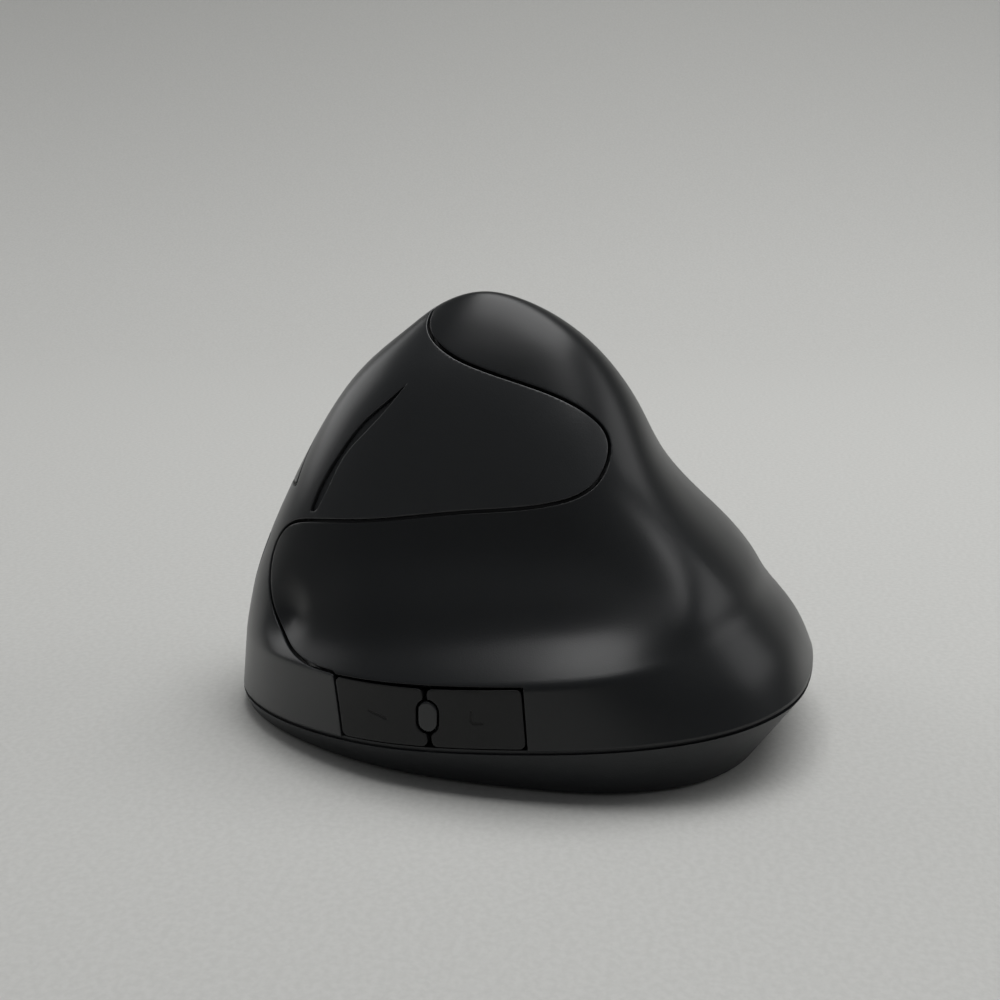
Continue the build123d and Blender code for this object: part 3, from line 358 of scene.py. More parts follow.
# The finger side's own directions, and its slots: middle, half sizes and corner radius
FINGER_YAW = math.radians(20.0)
FINGER_TILT = math.radians(27.0)
FINGER_OUT = np.array([math.cos(FINGER_YAW) * math.cos(FINGER_TILT),
                       math.sin(FINGER_YAW) * math.cos(FINGER_TILT), math.sin(FINGER_TILT)])
FINGER_ALONG = np.array([-math.sin(FINGER_YAW), math.cos(FINGER_YAW), 0.0])
FINGER_UP = np.cross(FINGER_OUT, FINGER_ALONG)
FINGER_PLACE = np.array([26.9, 24.0, 38.175])
FINGER_SLOT_DEPTH = 9
WHEEL_SLOT = (0, 0, 10.6, 3.5, 1.6)
DPI_HOLE = (-19.5, 1.5, 4.3, 2.4, 0.9)


def side_places(shares):
    """Places in the side view, in millimetres."""
    return np.array([(y * HALF_LENGTH, z * HEIGHT) for y, z in shares])


def nose_places(shares):
    """Places in the nose view, in millimetres."""
    return np.array([(x * HALF_WIDTH, z * HEIGHT) for x, z in shares])


def curve_through(points, count=CURVE_POINTS):
    """An open smooth curve through points."""
    run = run_along(points)
    return cubic(run, points, np.linspace(0, run[-1], count))


def rounded(corners, radii):
    """A closed outline whose corners are arcs of the given radii."""
    out = []
    count = len(corners)
    for i, radius in enumerate(radii):
        here = corners[i]
        if radius <= 0:
            out.append(here)
            continue
        to_before = corners[i - 1] - here
        to_before = to_before / np.linalg.norm(to_before)
        to_after = corners[(i + 1) % count] - here
        to_after = to_after / np.linalg.norm(to_after)
        half = math.acos(np.clip(to_before @ to_after, -1, 1)) / 2
        reach = radius / math.tan(half)
        inward = (to_before + to_after) / np.linalg.norm(to_before + to_after)
        middle = here + inward * radius / math.sin(half)
        start = here + to_before * reach - middle
        end = here + to_after * reach - middle
        start_angle = math.atan2(start[1], start[0])
        end_angle = math.atan2(end[1], end[0])
        turn = (end_angle - start_angle + math.pi) % (2 * math.pi) - math.pi
        for share in np.linspace(0, 1, ARC_POINTS):
            angle = start_angle + turn * share
            out.append(middle + radius * np.array([math.cos(angle), math.sin(angle)]))
    return np.array(out)


def flat_distance(flat, outline):
    """Signed distance to a closed outline, positive inside, and the way it grows."""
    start = outline
    end = np.roll(outline, -1, axis=0)
    run = end - start
    square_length = np.maximum((run ** 2).sum(1), 1e-12)
    best = np.full(len(flat), 1e9)
    way = np.zeros((len(flat), 2))
    inside = np.zeros(len(flat), bool)
    for first in range(0, len(flat), POINTS_AT_ONCE):
        chunk = slice(first, first + POINTS_AT_ONCE)
        part = flat[chunk]
        rel = part[:, None, :] - start[None]
        t = np.clip((rel * run[None]).sum(2) / square_length[None], 0, 1)
        off = rel - t[:, :, None] * run[None]
        square = (off ** 2).sum(2)
        nearest = square.argmin(1)
        rows = np.arange(len(part))
        best[chunk] = np.sqrt(square[rows, nearest])
        way[chunk] = off[rows, nearest]
        x = part[:, None, 0]
        y = part[:, None, 1]
        crosses = (start[None, :, 1] > y) != (end[None, :, 1] > y)
        with np.errstate(divide="ignore", invalid="ignore"):
            meet = start[None, :, 0] + (y - start[None, :, 1]) * run[None, :, 0] / run[None, :, 1]
        inside[chunk] = (crosses & (x < meet)).sum(1) % 2 == 1
    sign = np.where(inside, 1.0, -1.0)
    return best * sign, way / np.maximum(best, 1e-9)[:, None]


def over_surface(distance, lean):
    """A distance seen in a view, made longer where the surface leans away from the view."""
    return distance / np.sqrt(np.maximum(1 - lean ** 2, LEAST_SPREAD))


def view_distance(outline, axes):
    """Distance over the surface to an outline that is drawn in a view along one axis."""
    distance, way = flat_distance(POINTS[:, axes], outline)
    return over_surface(distance, (POINT_NORMALS[:, axes] * way).sum(1))


def thumb_only(values):
    """A field that counts on the thumb side alone."""
    return np.where(THUMB, values, -OUT_OF_REACH)


def pill_distance(grow=0.0):
    """Distance outside the lens between the side buttons, positive outside."""
    y = POINTS[:, 1] - PILL_Y
    z = POINTS[:, 2] - PILL_Z
    z = z - np.clip(z, -PILL_HALF_HEIGHT, PILL_HALF_HEIGHT)
    return np.where(POINTS[:, 0] < 0, np.hypot(y, z) - PILL_RADIUS - grow, OUT_OF_REACH)


def finger_slot(middle_along, middle_up, half_along, half_up, radius):
    """Distance outside a rounded slot that is cut along the finger side's direction."""
    from_place = POINTS - FINGER_PLACE
    past_end = np.abs(from_place @ FINGER_ALONG - middle_along) - half_along + radius
    past_side = np.abs(from_place @ FINGER_UP - middle_up) - half_up + radius
    beyond = np.hypot(np.maximum(past_end, 0), np.maximum(past_side, 0))
    outside = beyond + np.minimum(np.maximum(past_end, past_side), 0) - radius
    return np.where(from_place @ FINGER_OUT > -FINGER_SLOT_DEPTH, outside, OUT_OF_REACH)


def side_outline(corners):
    """A side button's outline: lines between corners, drawn in, with round corners."""
    corners = np.array(corners)
    count = len(corners)
    middle = corners.mean(0)
    moved = []
    for i in range(count):
        lines = []
        for a, b in ((corners[i - 1], corners[i]), (corners[i], corners[(i + 1) % count])):
            run = (b - a) / np.linalg.norm(b - a)
            normal = np.array([-run[1], run[0]])
            if normal @ (middle - a) < 0:
                normal = -normal
            lines.append((a + normal * SIDE_GAP, run))
        (first, first_run), (second, second_run) = lines
        along = np.linalg.solve(np.array([first_run, -second_run]).T, second - first)[0]
        moved.append(first + first_run * along)
    return rounded(np.array(moved), [SIDE_RADIUS] * count)


def cover_distance():
    """Distance inside the front cover's seam, which differs on the thumb and the palm side."""
    left = view_distance(thumb_region, SIDE_VIEW)
    right = view_distance(finger_region, SIDE_VIEW)
    share = np.clip((POINTS[:, 0] - CROWN[0]) / LEFT_RIGHT_BLEND + 0.5, 0, 1)
    return left * (1 - share) + right * share


# The front cover's seam
beyond_nose = HALF_LENGTH + OVERRUN
above = HEIGHT + OVERRUN
leaf_curve = curve_through(side_places(LEAF))
window_side = side_places(SIDE_WINDOW)
thumb_region = np.vstack([leaf_curve, window_side[0], window_side[1],
                          [window_side[1][0], -OVERRUN], [beyond_nose, -OVERRUN],
                          [beyond_nose, above], [leaf_curve[0][0], above]])
palm_curve = curve_through(side_places(PALM_SEAM))
finger_region = np.vstack([palm_curve, [palm_curve[-1][0], -OVERRUN], [beyond_nose, -OVERRUN],
                           [beyond_nose, above], [palm_curve[0][0], above]])
cover = cover_distance()

# The main buttons' windows and the slot of the indicator strip
upper_outline = rounded(side_places(UPPER_WINDOW), WINDOW_RADII)
lower_outline = rounded(side_places(LOWER_WINDOW), WINDOW_RADII)
upper_curve = curve_through(nose_places(UPPER_NOSE))
upper_reach = np.vstack([upper_curve, [WIDTH, upper_curve[-1][1]], [WIDTH, upper_curve[0][1]]])
upper_window = np.minimum(view_distance(upper_outline, SIDE_VIEW),
                          view_distance(upper_reach, NOSE_VIEW))
lower_edge = over_surface(POINTS[:, 0] - LOWER_NOSE * HALF_WIDTH, POINT_NORMALS[:, 0])
lower_window = np.minimum(view_distance(lower_outline, SIDE_VIEW), lower_edge)
slot_outline = np.vstack([curve_through(side_places(SLOT_FRONT), SLOT_CURVE_POINTS),
                          curve_through(side_places(SLOT_REAR), SLOT_CURVE_POINTS)[:-1]])
slot = thumb_only(view_distance(slot_outline, SIDE_VIEW))
wheel_slot = finger_slot(*WHEEL_SLOT)
dpi_hole = finger_slot(*DPI_HOLE)


def on_crease(y):
    """A place on the crease in the side view."""
    return (y, station_z(CREASE_STATION, y) + crease_lift(y))


def on_joint(y):
    """A place on the base joint in the side view."""
    return (y, station_z(JOINT_STATION, y))


# The side buttons, between the crease and the base joint
front_top = on_crease(window_side[0][0])
rear_top = on_crease(window_side[3][0])
split_top = on_crease(SPLIT_TOP * HALF_LENGTH)
split_low = on_joint(SPLIT_LOW * HALF_LENGTH)
front_low = on_joint(window_side[1][0])
rear_low = on_joint(window_side[2][0])
front_outline = side_outline([front_top, front_low, split_low, split_top])
rear_outline = side_outline([split_top, split_low, rear_low, rear_top])
side_window_outline = np.array([front_top, window_side[1], window_side[2], rear_top])
side_window = thumb_only(view_distance(side_window_outline, SIDE_VIEW))
front_side = thumb_only(view_distance(front_outline, SIDE_VIEW))
rear_side = thumb_only(view_distance(rear_outline, SIDE_VIEW))

# Where each piece lies on the form: positive inside it, in millimetres from its edge
FIELDS = {
    "front_cover": np.minimum.reduce([cover, -upper_window, -lower_window, -slot, wheel_slot,
                                      dpi_hole]),
    "grip_shell": np.minimum(-cover - SEAM_GAP, -side_window),
    "left_button": upper_window - BUTTON_GAP,
    "right_button": lower_window - BUTTON_GAP,
    "front_side_button": np.minimum(front_side, pill_distance(SIDE_GAP)),
    "rear_side_button": np.minimum(rear_side, pill_distance(SIDE_GAP)),
    "side_indicator_lens": -pill_distance(),
    "indicator_strip": slot - STRIP_GAP,
}

# Flanges behind the seams, which keep light from passing through the gaps
FLANGE_WALL = 0.4
FLANGE_RADIUS = 0.05
FLANGE_REACH = 1.6
COVER_FLANGE_LAP = 2.4
COVER_FLANGE_DEPTH = 2.2
BUTTON_FLANGE_LAP = 0.9
SIDE_FLANGE_LAP = 1.0
DEEP_FLANGE_DEPTH = 3.0
CLEAR_OF_SIDE_BUTTONS = 1.8
CLEAR_OF_WHEEL = 0.3


def button_flange(window):
    """A strip behind a main button's seam, clear of the wheel's slot."""
    return np.minimum.reduce([window + BUTTON_FLANGE_LAP, FLANGE_REACH - window,
                              wheel_slot - CLEAR_OF_WHEEL])


cover_flange = np.minimum.reduce([cover + COVER_FLANGE_LAP, FLANGE_REACH - cover,
                                  -side_window - CLEAR_OF_SIDE_BUTTONS])
FLANGES = {
    "front_cover": [(cover_flange, COVER_FLANGE_DEPTH),
                    (button_flange(upper_window), DEEP_FLANGE_DEPTH),
                    (button_flange(lower_window), DEEP_FLANGE_DEPTH)],
    "grip_shell": [(side_window + SIDE_FLANGE_LAP, DEEP_FLANGE_DEPTH)],
}

# Walls and edges of the pieces
WALL = 1.9
EDGE_RADIUS = 0.12
EDGE_STEPS = (0.0, 0.12, 0.4, 1.0)
CLEAR_OF_LEVEL = 1e-4
FIELD_MARGIN = -2


def split_at(values, triangles, level):
    """Splits triangles along the line where the last column has a level."""
    side = values[:, -1] - level
    side = np.where(np.abs(side) < CLEAR_OF_LEVEL, CLEAR_OF_LEVEL, side)
    sign = side > 0
    kinds = sign[triangles].sum(1)
    cut = (kinds == 1) | (kinds == 2)
    kept = triangles[~cut]
    mixed = triangles[cut]
    if not len(mixed):
        return values, triangles
    flags = sign[mixed]
    odd = np.where(kinds[cut] == 1, flags.argmax(1), (~flags).argmax(1))
    rows = np.arange(len(mixed))
    a = mixed[rows, odd]
    b = mixed[rows, (odd + 1) % 3]
    c = mixed[rows, (odd + 2) % 3]
    pairs = np.sort(np.vstack([np.stack([a, b], 1), np.stack([a, c], 1)]), axis=1)
    unique, where = np.unique(pairs, axis=0, return_inverse=True)
    where = where.reshape(-1) + len(values)
    near = side[unique[:, 0]]
    far = side[unique[:, 1]]
    t = (near / (near - far))[:, None]
    fresh = values[unique[:, 0]] * (1 - t) + values[unique[:, 1]] * t
    fresh[:, -1] = level
    ab = where[:len(mixed)]
    ac = where[len(mixed):]
    new = np.vstack([np.stack([a, ab, ac], 1), np.stack([ab, b, c], 1), np.stack([ab, c, ac], 1)])
    return np.vstack([values, fresh]), np.vstack([kept, new])


def open_edges(triangles):
    """The edges that only one triangle has."""
    edges = np.vstack([triangles[:, [0, 1]], triangles[:, [1, 2]], triangles[:, [2, 0]]])
    key = np.sort(edges, axis=1)
    where, count = np.unique(key, axis=0, return_inverse=True, return_counts=True)[1:]
    return edges[count[where.reshape(-1)] == 1]


def cut_shell(field, radius=EDGE_RADIUS, wall=WALL, sink=0.0):
    """A closed shell where a field is positive, with rounded outer edges."""
    values = np.column_stack([POINTS, POINT_NORMALS, field])
    triangles = TRIANGLES[(field[TRIANGLES] > FIELD_MARGIN).any(1)]
    for step in EDGE_STEPS:
        values, triangles = split_at(values, triangles, radius * step)
        if step == 0.0:
            triangles = triangles[values[triangles, -1].mean(1) > 0]
    used, triangles = np.unique(triangles, return_inverse=True)
    triangles = triangles.reshape(-1, 3)
    values = values[used]
    normal = values[:, 3:6] / np.linalg.norm(values[:, 3:6], axis=1, keepdims=True)
    from_edge = np.clip(radius - values[:, -1], 0, radius)
    inward = radius - np.sqrt(np.maximum(radius ** 2 - from_edge ** 2, 0))
    outer = values[:, :3] - normal * (inward + sink)[:, None]
    inner = values[:, :3] - normal * (wall + sink)
    rim = open_edges(triangles)
    under = rim + len(outer)
    walls = np.vstack([np.stack([rim[:, 1], rim[:, 0], under[:, 0]], 1),
                       np.stack([rim[:, 1], under[:, 0], under[:, 1]], 1)])
    inner_triangles = triangles[:, ::-1] + len(outer)
    return np.vstack([outer, inner]), np.vstack([triangles, inner_triangles, walls])


def joined(shells):
    """Several closed shells as one mesh."""
    points = []
    faces = []
    first = 0
    for shell_points, shell_faces in shells:
        points.append(shell_points)
        faces.append(shell_faces + first)
        first += len(shell_points)
    return np.vstack(points), np.vstack(faces)


def add_mesh(name, points, faces, body, replaced):
    """A piece of triangles, given in millimetres, that stands for solids of the frame."""
    mesh = bpy.data.meshes.new(name)
    mesh.vertices.add(len(points))
    places = (np.asarray(points, np.float64) * MM).astype(np.float32)
    mesh.vertices.foreach_set("co", places.ravel())
    faces = np.asarray(faces, np.int32)
    mesh.loops.add(faces.size)
    mesh.loops.foreach_set("vertex_index", faces.ravel())
    mesh.polygons.add(len(faces))
    mesh.polygons.foreach_set("loop_start", np.arange(0, faces.size, 3, dtype=np.int32))
    mesh.polygons.foreach_set("loop_total", np.full(len(faces), 3, np.int32))
    mesh.update(calc_edges=True)
    mesh.validate()
    mesh.shade_smooth()
    obj = bpy.data.objects.new(name, mesh)
    bpy.context.scene.collection.objects.link(obj)
    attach(obj, body)
    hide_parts(*replaced)
    return obj


# Pieces cut out of the form
PIECES = {}
for name, body, settings in (
        ("front_cover", "housing", {}),
        ("grip_shell", "housing", {}),
        ("left_button", "left_button", {}),
        ("right_button", "right_button", {}),
        ("front_side_button", "front_side_button", {}),
        ("rear_side_button", "rear_side_button", {}),
        ("side_indicator_lens", "housing", {"radius": 0.3}),
        ("indicator_strip", "housing", {"sink": 0.6, "wall": 1.0, "radius": 0.1})):
    shells = [cut_shell(FIELDS[name], **settings)]
    for field, depth in FLANGES.get(name, []):
        shells.append(cut_shell(field, radius=FLANGE_RADIUS, wall=FLANGE_WALL, sink=depth))
    points, faces = joined(shells)
    PIECES[name] = add_mesh(name + "_skin", points, faces, body, [name])


# Materials
class Wire:
    """A socket that can be combined with others by arithmetic."""

    def __init__(self, net, socket):
        self.net = net
        self.socket = socket

    def maths(self, kind, other=None):
        return self.net.maths(kind, self, other)

    def __add__(self, other):
        return self.maths("ADD", other)

    def __radd__(self, other):
        return self.net.maths("ADD", other, self)

    def __sub__(self, other):
        return self.maths("SUBTRACT", other)

    def __rsub__(self, other):
        return self.net.maths("SUBTRACT", other, self)

    def __mul__(self, other):
        return self.maths("MULTIPLY", other)

    def __rmul__(self, other):
        return self.net.maths("MULTIPLY", other, self)

    def least(self, other):
        return self.maths("MINIMUM", other)

    def most(self, other):
        return self.maths("MAXIMUM", other)


# Sockets of the colour Mix node, which share their names with hidden ones
MIX_FACTOR = 0
MIX_FIRST_COLOR = 6
MIX_SECOND_COLOR = 7
MIX_COLOR = 2

# What the shader's sockets are called here
SHADER_SOCKETS = {"color": "Base Color", "rough": "Roughness", "metal": "Metallic",
                  "level": "Specular IOR Level", "sheen": "Sheen Weight",
                  "through": "Transmission Weight"}

# The span of a noise's values over which a finish changes
LOW_NOISE = 0.3
HIGH_NOISE = 0.7


class Net:
    """The node tree of one material."""

    def __init__(self, name):
        self.material = bpy.data.materials.new(name)
        self.material.use_nodes = True
        self.tree = self.material.node_tree
        self.shader = self.tree.nodes["Principled BSDF"]
        self.place = Wire(self, self.node("ShaderNodeTexCoord").outputs["Object"])

    def node(self, kind, inputs=(), **settings):
        made = self.tree.nodes.new(kind)
        for key, value in settings.items():
            setattr(made, key, value)
        for key, value in dict(inputs).items():
            self.give(made.inputs[key], value)
        return made

    def give(self, socket, value):
        if isinstance(value, Wire):
            self.tree.links.new(value.socket, socket)
        else:
            socket.default_value = value

    def maths(self, kind, first, second=None):
        inputs = {0: first} if second is None else {0: first, 1: second}
        return Wire(self, self.node("ShaderNodeMath", inputs, operation=kind).outputs[0])

    def axis(self, letter):
        made = self.node("ShaderNodeSeparateXYZ", {"Vector": self.place})
        return Wire(self, made.outputs[letter])

    def stretched(self, factors):
        made = self.node("ShaderNodeVectorMath", {0: self.place, 1: factors}, operation="MULTIPLY")
        return Wire(self, made.outputs[0])

    def noise(self, scale, detail=3.0, rough=0.55, place=None):
        made = self.node("ShaderNodeTexNoise", {"Vector": place or self.place, "Scale": scale,
                                                "Detail": detail, "Roughness": rough})
        return Wire(self, made.outputs["Fac"])

    def grain(self, scale):
        made = self.node("ShaderNodeTexVoronoi", {"Vector": self.place, "Scale": scale})
        return Wire(self, made.outputs["Distance"])

    def mix(self, share, first, second):
        made = self.node("ShaderNodeMix", {MIX_FACTOR: share, MIX_FIRST_COLOR: first,
                                           MIX_SECOND_COLOR: second}, data_type="RGBA")
        return Wire(self, made.outputs[MIX_COLOR])

    def ramp(self, value, low, high, start=0.0, end=1.0):
        made = self.node("ShaderNodeMapRange", {"Value": value, "From Min": low, "From Max": high,
                                                "To Min": start, "To Max": end})
        return Wire(self, made.outputs[0])

    def spread(self, noise, start=0.0, end=1.0):
        return self.ramp(noise, LOW_NOISE, HIGH_NOISE, start, end)

    def bump(self, height, distance, strength=1.0):
        made = self.node("ShaderNodeBump", {"Height": height, "Distance": distance,
                                            "Strength": strength})
        self.give(self.shader.inputs["Normal"], Wire(self, made.outputs[0]))

    def set(self, **values):
        for key, value in values.items():
            self.give(self.shader.inputs[SHADER_SOCKETS[key]], value)


# Scales of the marks of use in plastic, and how far they change its tone and gloss
WIDE_MARKS = 60.0
SMUDGES = 140.0
TONE_SPREAD = 0.03
GLOSS_SPREAD = 0.015


def grey(value, warm=0.0):
    """A grey, a little warmer or cooler."""
    return (value * (1 + warm), value, value * (1 - warm), 1.0)


def plastic(name, tone, rough, grain_size, grain_depth, level=0.5, sheen=0.0):
    """Moulded plastic with a spark-eroded grain, and faint marks of use in its gloss."""
    net = Net(name)
    fine = net.grain(1.0 / grain_size)
    wide = net.noise(WIDE_MARKS, 4.0)
    smudge = net.noise(SMUDGES, 6.0, 0.65)
    darker = grey(tone * (1 - TONE_SPREAD), -0.08)
    lighter = grey(tone * (1 + TONE_SPREAD), -0.08)
    net.set(color=net.mix(net.spread(wide), darker, lighter),
            rough=net.spread(smudge, rough - GLOSS_SPREAD, rough + GLOSS_SPREAD),
            level=level, sheen=sheen)
    net.bump(fine + net.noise(2.2 / grain_size, 2.0) * 0.6, grain_depth)
    return net.material


# Engraved strokes on the side buttons, in the side view and in millimetres
DASH = [((19.0, 12.0), (15.9, 11.3))]
CORNER = [((1.6, 14.6), (1.6, 13.2)), ((1.6, 13.2), (1.2, 12.7)), ((1.2, 12.7), (-0.2, 12.9))]
STROKE_HALF_WIDTH = 0.00013
STROKE_EDGE = 0.00026
STROKE_DEPTH = 0.00008


def stroke_distance(net, start, end):
    """Distance, in the side view and in metres, to a straight stroke given in millimetres."""
    y = net.axis("Y")
    z = net.axis("Z")
    first_y = start[0] * MM
    first_z = start[1] * MM
    run_y = end[0] * MM - first_y
    run_z = end[1] * MM - first_z
    along = ((y - first_y) * run_y + (z - first_z) * run_z) * (1 / (run_y ** 2 + run_z ** 2))
    along = along.most(0.0).least(1.0)
    off_y = y - first_y - along * run_y
    off_z = z - first_z - along * run_z
    return (off_y * off_y + off_z * off_z).maths("SQRT")


def marked_plastic(name, strokes, tone, rough):
    """Button plastic with thin engraved strokes, a plain dash or a plain corner."""
    net = Net(name)
    distance = None
    for start, end in strokes:
        stroke = stroke_distance(net, start, end)
        distance = stroke if distance is None else distance.least(stroke)
    ink = net.ramp(distance, STROKE_HALF_WIDTH, STROKE_EDGE, 1.0, 0.0)
    wide = net.spread(net.noise(WIDE_MARKS, 4.0))
    plain = net.mix(wide, grey(tone * 0.92, -0.03), grey(tone * 1.08, -0.03))
    smudge = net.noise(SMUDGES, 6.0, 0.65)
    net.set(color=net.mix(ink, plain, grey(tone * 0.15)), level=0.3,
            rough=net.spread(smudge, rough - 0.03, rough + 0.03))
    net.bump(net.grain(3100.0) * 0.1 - ink, STROKE_DEPTH)
    return net.material


def metal(name, tone, rough, streaks):
    """Rolled or plated metal, with streaks along one axis."""
    net = Net(name)
    lines = net.noise(1.0, 4.0, 0.6, net.stretched(streaks))
    darker = tuple(0.85 * v for v in tone) + (1,)
    net.set(color=net.mix(net.spread(lines), darker, tone + (1,)), metal=1.0,
            rough=net.spread(lines, rough - 0.06, rough + 0.08))
    net.bump(lines, 0.00001, 0.6)
    return net.material


def circuit(name):
    """Green lacquer over copper tracks, with tinned pads."""
    net = Net(name)
    tracks = net.noise(420.0, 1.0, 0.3, net.stretched((1.0, 0.12, 1.0)))
    track = net.ramp(tracks, 0.53, 0.55)
    pad = net.ramp(net.grain(330.0), 0.16, 0.20, 1.0, 0.0)
    green = net.mix(track, (0.004, 0.050, 0.016, 1), (0.010, 0.095, 0.030, 1))
    net.set(color=net.mix(pad, green, (0.60, 0.58, 0.54, 1)), metal=pad,
            rough=net.ramp(track, 0.0, 1.0, 0.34, 0.28))
    net.bump(track + pad, 0.00004)
    return net.material


# Where the cell's finishes and the receiver's plug begin and end along the mouse, in metres
CELL_SHOULDER = (0.0100, 0.0102)
CELL_TOP = (0.0200, 0.0201)
CELL_FOOT = (-0.0287, -0.0286)
RECEIVER_PLUG = (-0.0300, -0.0299)


def cell_wrapper():
    """A plain wrapper: dark body, copper-coloured shoulder, bare steel ends."""
    net = Net("cell_wrapper")
    y = net.axis("Y")
    shoulder = net.ramp(y, *CELL_SHOULDER)
    steel = net.ramp(y, *CELL_TOP).most(net.ramp(y, *CELL_FOOT, 1.0, 0.0))
    scuffs = net.noise(260.0, 5.0, 0.6)
    wrap = net.mix(shoulder, (0.020, 0.021, 0.024, 1), (0.42, 0.20, 0.08, 1))
    net.set(color=net.mix(steel, wrap, (0.58, 0.57, 0.55, 1)), metal=shoulder.most(steel),
            rough=net.spread(scuffs, 0.22, 0.34))
    net.bump(scuffs, 0.00001)
    return net.material


def receiver_finish():
    """A black cap on the plug of bare metal."""
    net = Net("receiver")
    plug = net.ramp(net.axis("Y"), *RECEIVER_PLUG)
    scuffs = net.noise(500.0, 4.0)
    net.set(color=net.mix(plug, (0.014, 0.014, 0.015, 1), (0.60, 0.59, 0.57, 1)), metal=plug,
            rough=net.spread(scuffs, 0.28, 0.40))
    net.bump(scuffs, 0.00001)
    return net.material


def clear_lens():
    """Clear plastic with a faint haze, over the sensor."""
    net = Net("clear_lens")
    haze = net.noise(300.0, 4.0)
    net.set(color=(0.72, 0.74, 0.74, 1), rough=net.spread(haze, 0.04, 0.12), through=1.0)
    net.bump(haze, 0.000005)
    return net.material


MATERIALS = {
    "cover": plastic("satin_plastic", 0.018, 0.31, 0.00032, 0.000007, 0.6),
    "grip": plastic("soft_touch", 0.013, 0.31, 0.00022, 0.000005, 0.37),
    "base": plastic("base_plastic", 0.021, 0.42, 0.00032, 0.000012, 0.4),
    "front_mark": marked_plastic("front_button_plastic", DASH, 0.012, 0.38),
    "rear_mark": marked_plastic("rear_button_plastic", CORNER, 0.012, 0.38),
    "lens": plastic("smoked_lens", 0.020, 0.20, 0.00060, 0.000002, 0.5),
    "inner": plastic("inner_plastic", 0.022, 0.5, 0.00040, 0.000010, 0.4),
    "switch": plastic("switch_plastic", 0.035, 0.32, 0.00030, 0.000006, 0.5),
    "key": plastic("key_plastic", 0.030, 0.30, 0.00026, 0.000006, 0.5),
    "hub": plastic("hub_plastic", 0.050, 0.28, 0.00026, 0.000004, 0.5),
    "rubber": plastic("tyre_rubber", 0.012, 0.72, 0.00018, 0.000016, 0.35, sheen=0.15),
    "foot": plastic("slide_foot", 0.075, 0.42, 0.00050, 0.000006, 0.4),
    "chip": plastic("sensor_body", 0.010, 0.40, 0.00020, 0.000004, 0.5),
    "steel": metal("steel", (0.56, 0.56, 0.57), 0.30, (900.0, 900.0, 120.0)),
    "nickel": metal("nickel", (0.63, 0.60, 0.55), 0.24, (120.0, 900.0, 900.0)),
    "circuit": circuit("circuit_board"),
    "cell": cell_wrapper(),
    "receiver": receiver_finish(),
    "clear": clear_lens(),
}
WORN_BY = {
    "cover": ["front_cover", "left_button", "right_button"],
    "grip": ["grip_shell"],
    "base": ["base_shell", "battery_door"],
    "front_mark": ["front_side_button"],
    "rear_mark": ["rear_side_button"],
    "lens": ["side_indicator_lens", "indicator_strip"],
    "inner": ["finger_frame", "wheel_carrier"],
    "switch": ["left_switch", "right_switch", "wheel_switch", "dpi_switch", "side_switches",
               "power_switch_body", "wheel_encoder"],
    "key": ["dpi_button", "power_switch_knob"],
    "hub": ["scroll_wheel"],
    "rubber": ["scroll_tyre"],
    "foot": ["front_foot", "rear_foot"],
    "chip": ["optical_sensor"],
    "steel": ["case_screws", "board_screws"],
    "nickel": ["positive_contact", "negative_contact"],
    "circuit": ["finger_board", "side_board", "main_board"],
    "cell": ["battery_cell"],
    "receiver": ["usb_receiver"],
    "clear": ["sensor_lens"],
}
for finish, wearers in WORN_BY.items():
    for name in wearers:
        obj = PIECES.get(name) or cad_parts[name]
        obj.data.materials.clear()
        obj.data.materials.append(MATERIALS[finish])

# The sweep of cloth: its level part, its bend and its rise, in metres from the middle
FLOOR_RUNS = (-9.0, -0.8, 0.0, 0.35)
SWEEP_HALF_WIDTH = 6.0
BEND_RADIUS = 0.55
BEND_TURN = math.radians(80)
BEND_STEPS = 24
RISE_RUN = 0.25
RISE_HEIGHT = 1.4
CLOTH_LOW = ((0.59, 0.59, 0.57, 1), (0.63, 0.63, 0.61, 1))
# Painted shade: the darker tone that the cloth is given where it rises, between the heights
# SHADE_START and SHADE_END
CLOTH_PAINTED_SHADE = (0.37, 0.37, 0.355, 1)
SHADE_START = 0.02
SHADE_END = 0.38


def sweep_profile():
    """The sweep's line: level under the object, then bent up and rising."""
    profile = [(run, 0.0) for run in FLOOR_RUNS]
    for step in range(1, BEND_STEPS + 1):
        angle = BEND_TURN * step / BEND_STEPS
        profile.append((FLOOR_RUNS[-1] + BEND_RADIUS * math.sin(angle),
                        BEND_RADIUS * (1 - math.cos(angle))))
    profile.append((profile[-1][0] + RISE_RUN, profile[-1][1] + RISE_HEIGHT))
    return profile


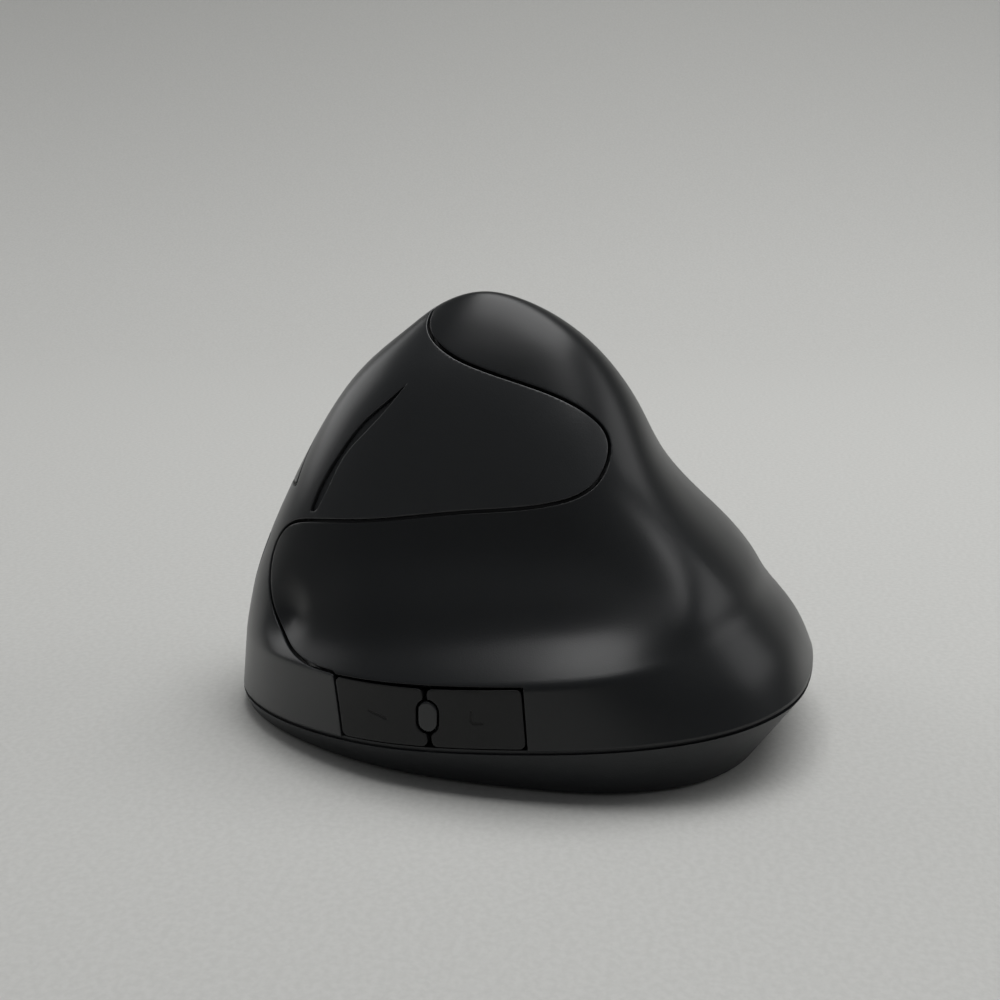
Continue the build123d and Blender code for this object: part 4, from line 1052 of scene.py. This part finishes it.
def backdrop_cloth():
    """Pale cloth with a fine weave, with painted shade that darkens it where it rises."""
    net = Net("backdrop_cloth")
    weave = net.noise(900.0, 2.0)
    # Painted shade: a share that grows with height and mixes the darker tone into the cloth
    painted_shade_share = net.ramp(net.axis("Z"), SHADE_START, SHADE_END)
    low = net.mix(net.ramp(weave, 0.35, 0.65), *CLOTH_LOW)
    net.set(color=net.mix(painted_shade_share, low, CLOTH_PAINTED_SHADE), rough=0.9, level=0.2)
    net.bump(weave, 0.0001, 0.4)
    return net.material


def backdrop():
    """The sweep, rising behind the object as the camera sees it."""
    away = Vector((CAMERA_AIM.x - CAMERA_PLACE.x, CAMERA_AIM.y - CAMERA_PLACE.y, 0)).normalized()
    side = Vector((-away.y, away.x, 0))
    points = []
    for run, rise in sweep_profile():
        for across in (-SWEEP_HALF_WIDTH, SWEEP_HALF_WIDTH):
            place = away * run + side * across
            points.append((place.x, place.y, rise))
    faces = [(k, k + 2, k + 3, k + 1) for k in range(0, len(points) - 2, 2)]
    mesh = bpy.data.meshes.new("backdrop")
    mesh.from_pydata(points, [], faces)
    mesh.shade_smooth()
    obj = bpy.data.objects.new("backdrop", mesh)
    bpy.context.scene.collection.objects.link(obj)
    obj.data.materials.append(backdrop_cloth())


backdrop()

# Soft boxes and the room's own light
LIT_PLACE = (0, 0, 0.04)
ROOM_TONE = (0.75, 0.76, 0.78, 1)
ROOM_LEVEL = 0.15


def area_light(name, place, size, power, aim=None):
    """A soft box, level unless it is aimed."""
    data = bpy.data.lights.new(name, "AREA")
    data.shape = "RECTANGLE"
    data.size, data.size_y = size
    data.energy = power
    lamp = bpy.data.objects.new(name, data)
    bpy.context.scene.collection.objects.link(lamp)
    lamp.location = place
    if aim:
        lamp.rotation_euler = (Vector(aim) - Vector(place)).to_track_quat("-Z", "Y").to_euler()


area_light("overhead", (0.16, -0.17, 0.80), (0.72, 0.78), 5.8)
area_light("rear_side", (0.24, -0.80, 0.45), (0.50, 0.36), 0.75, LIT_PLACE)
area_light("nose_side", (0.34, 0.78, 0.38), (0.60, 0.46), 1.15, LIT_PLACE)
room = bpy.data.worlds.new("room")
bpy.context.scene.world = room
room.use_nodes = True
room_light = room.node_tree.nodes["Background"]
room_light.inputs["Color"].default_value = ROOM_TONE
room_light.inputs["Strength"].default_value = ROOM_LEVEL
bpy.context.scene.view_settings.view_transform = "Standard"
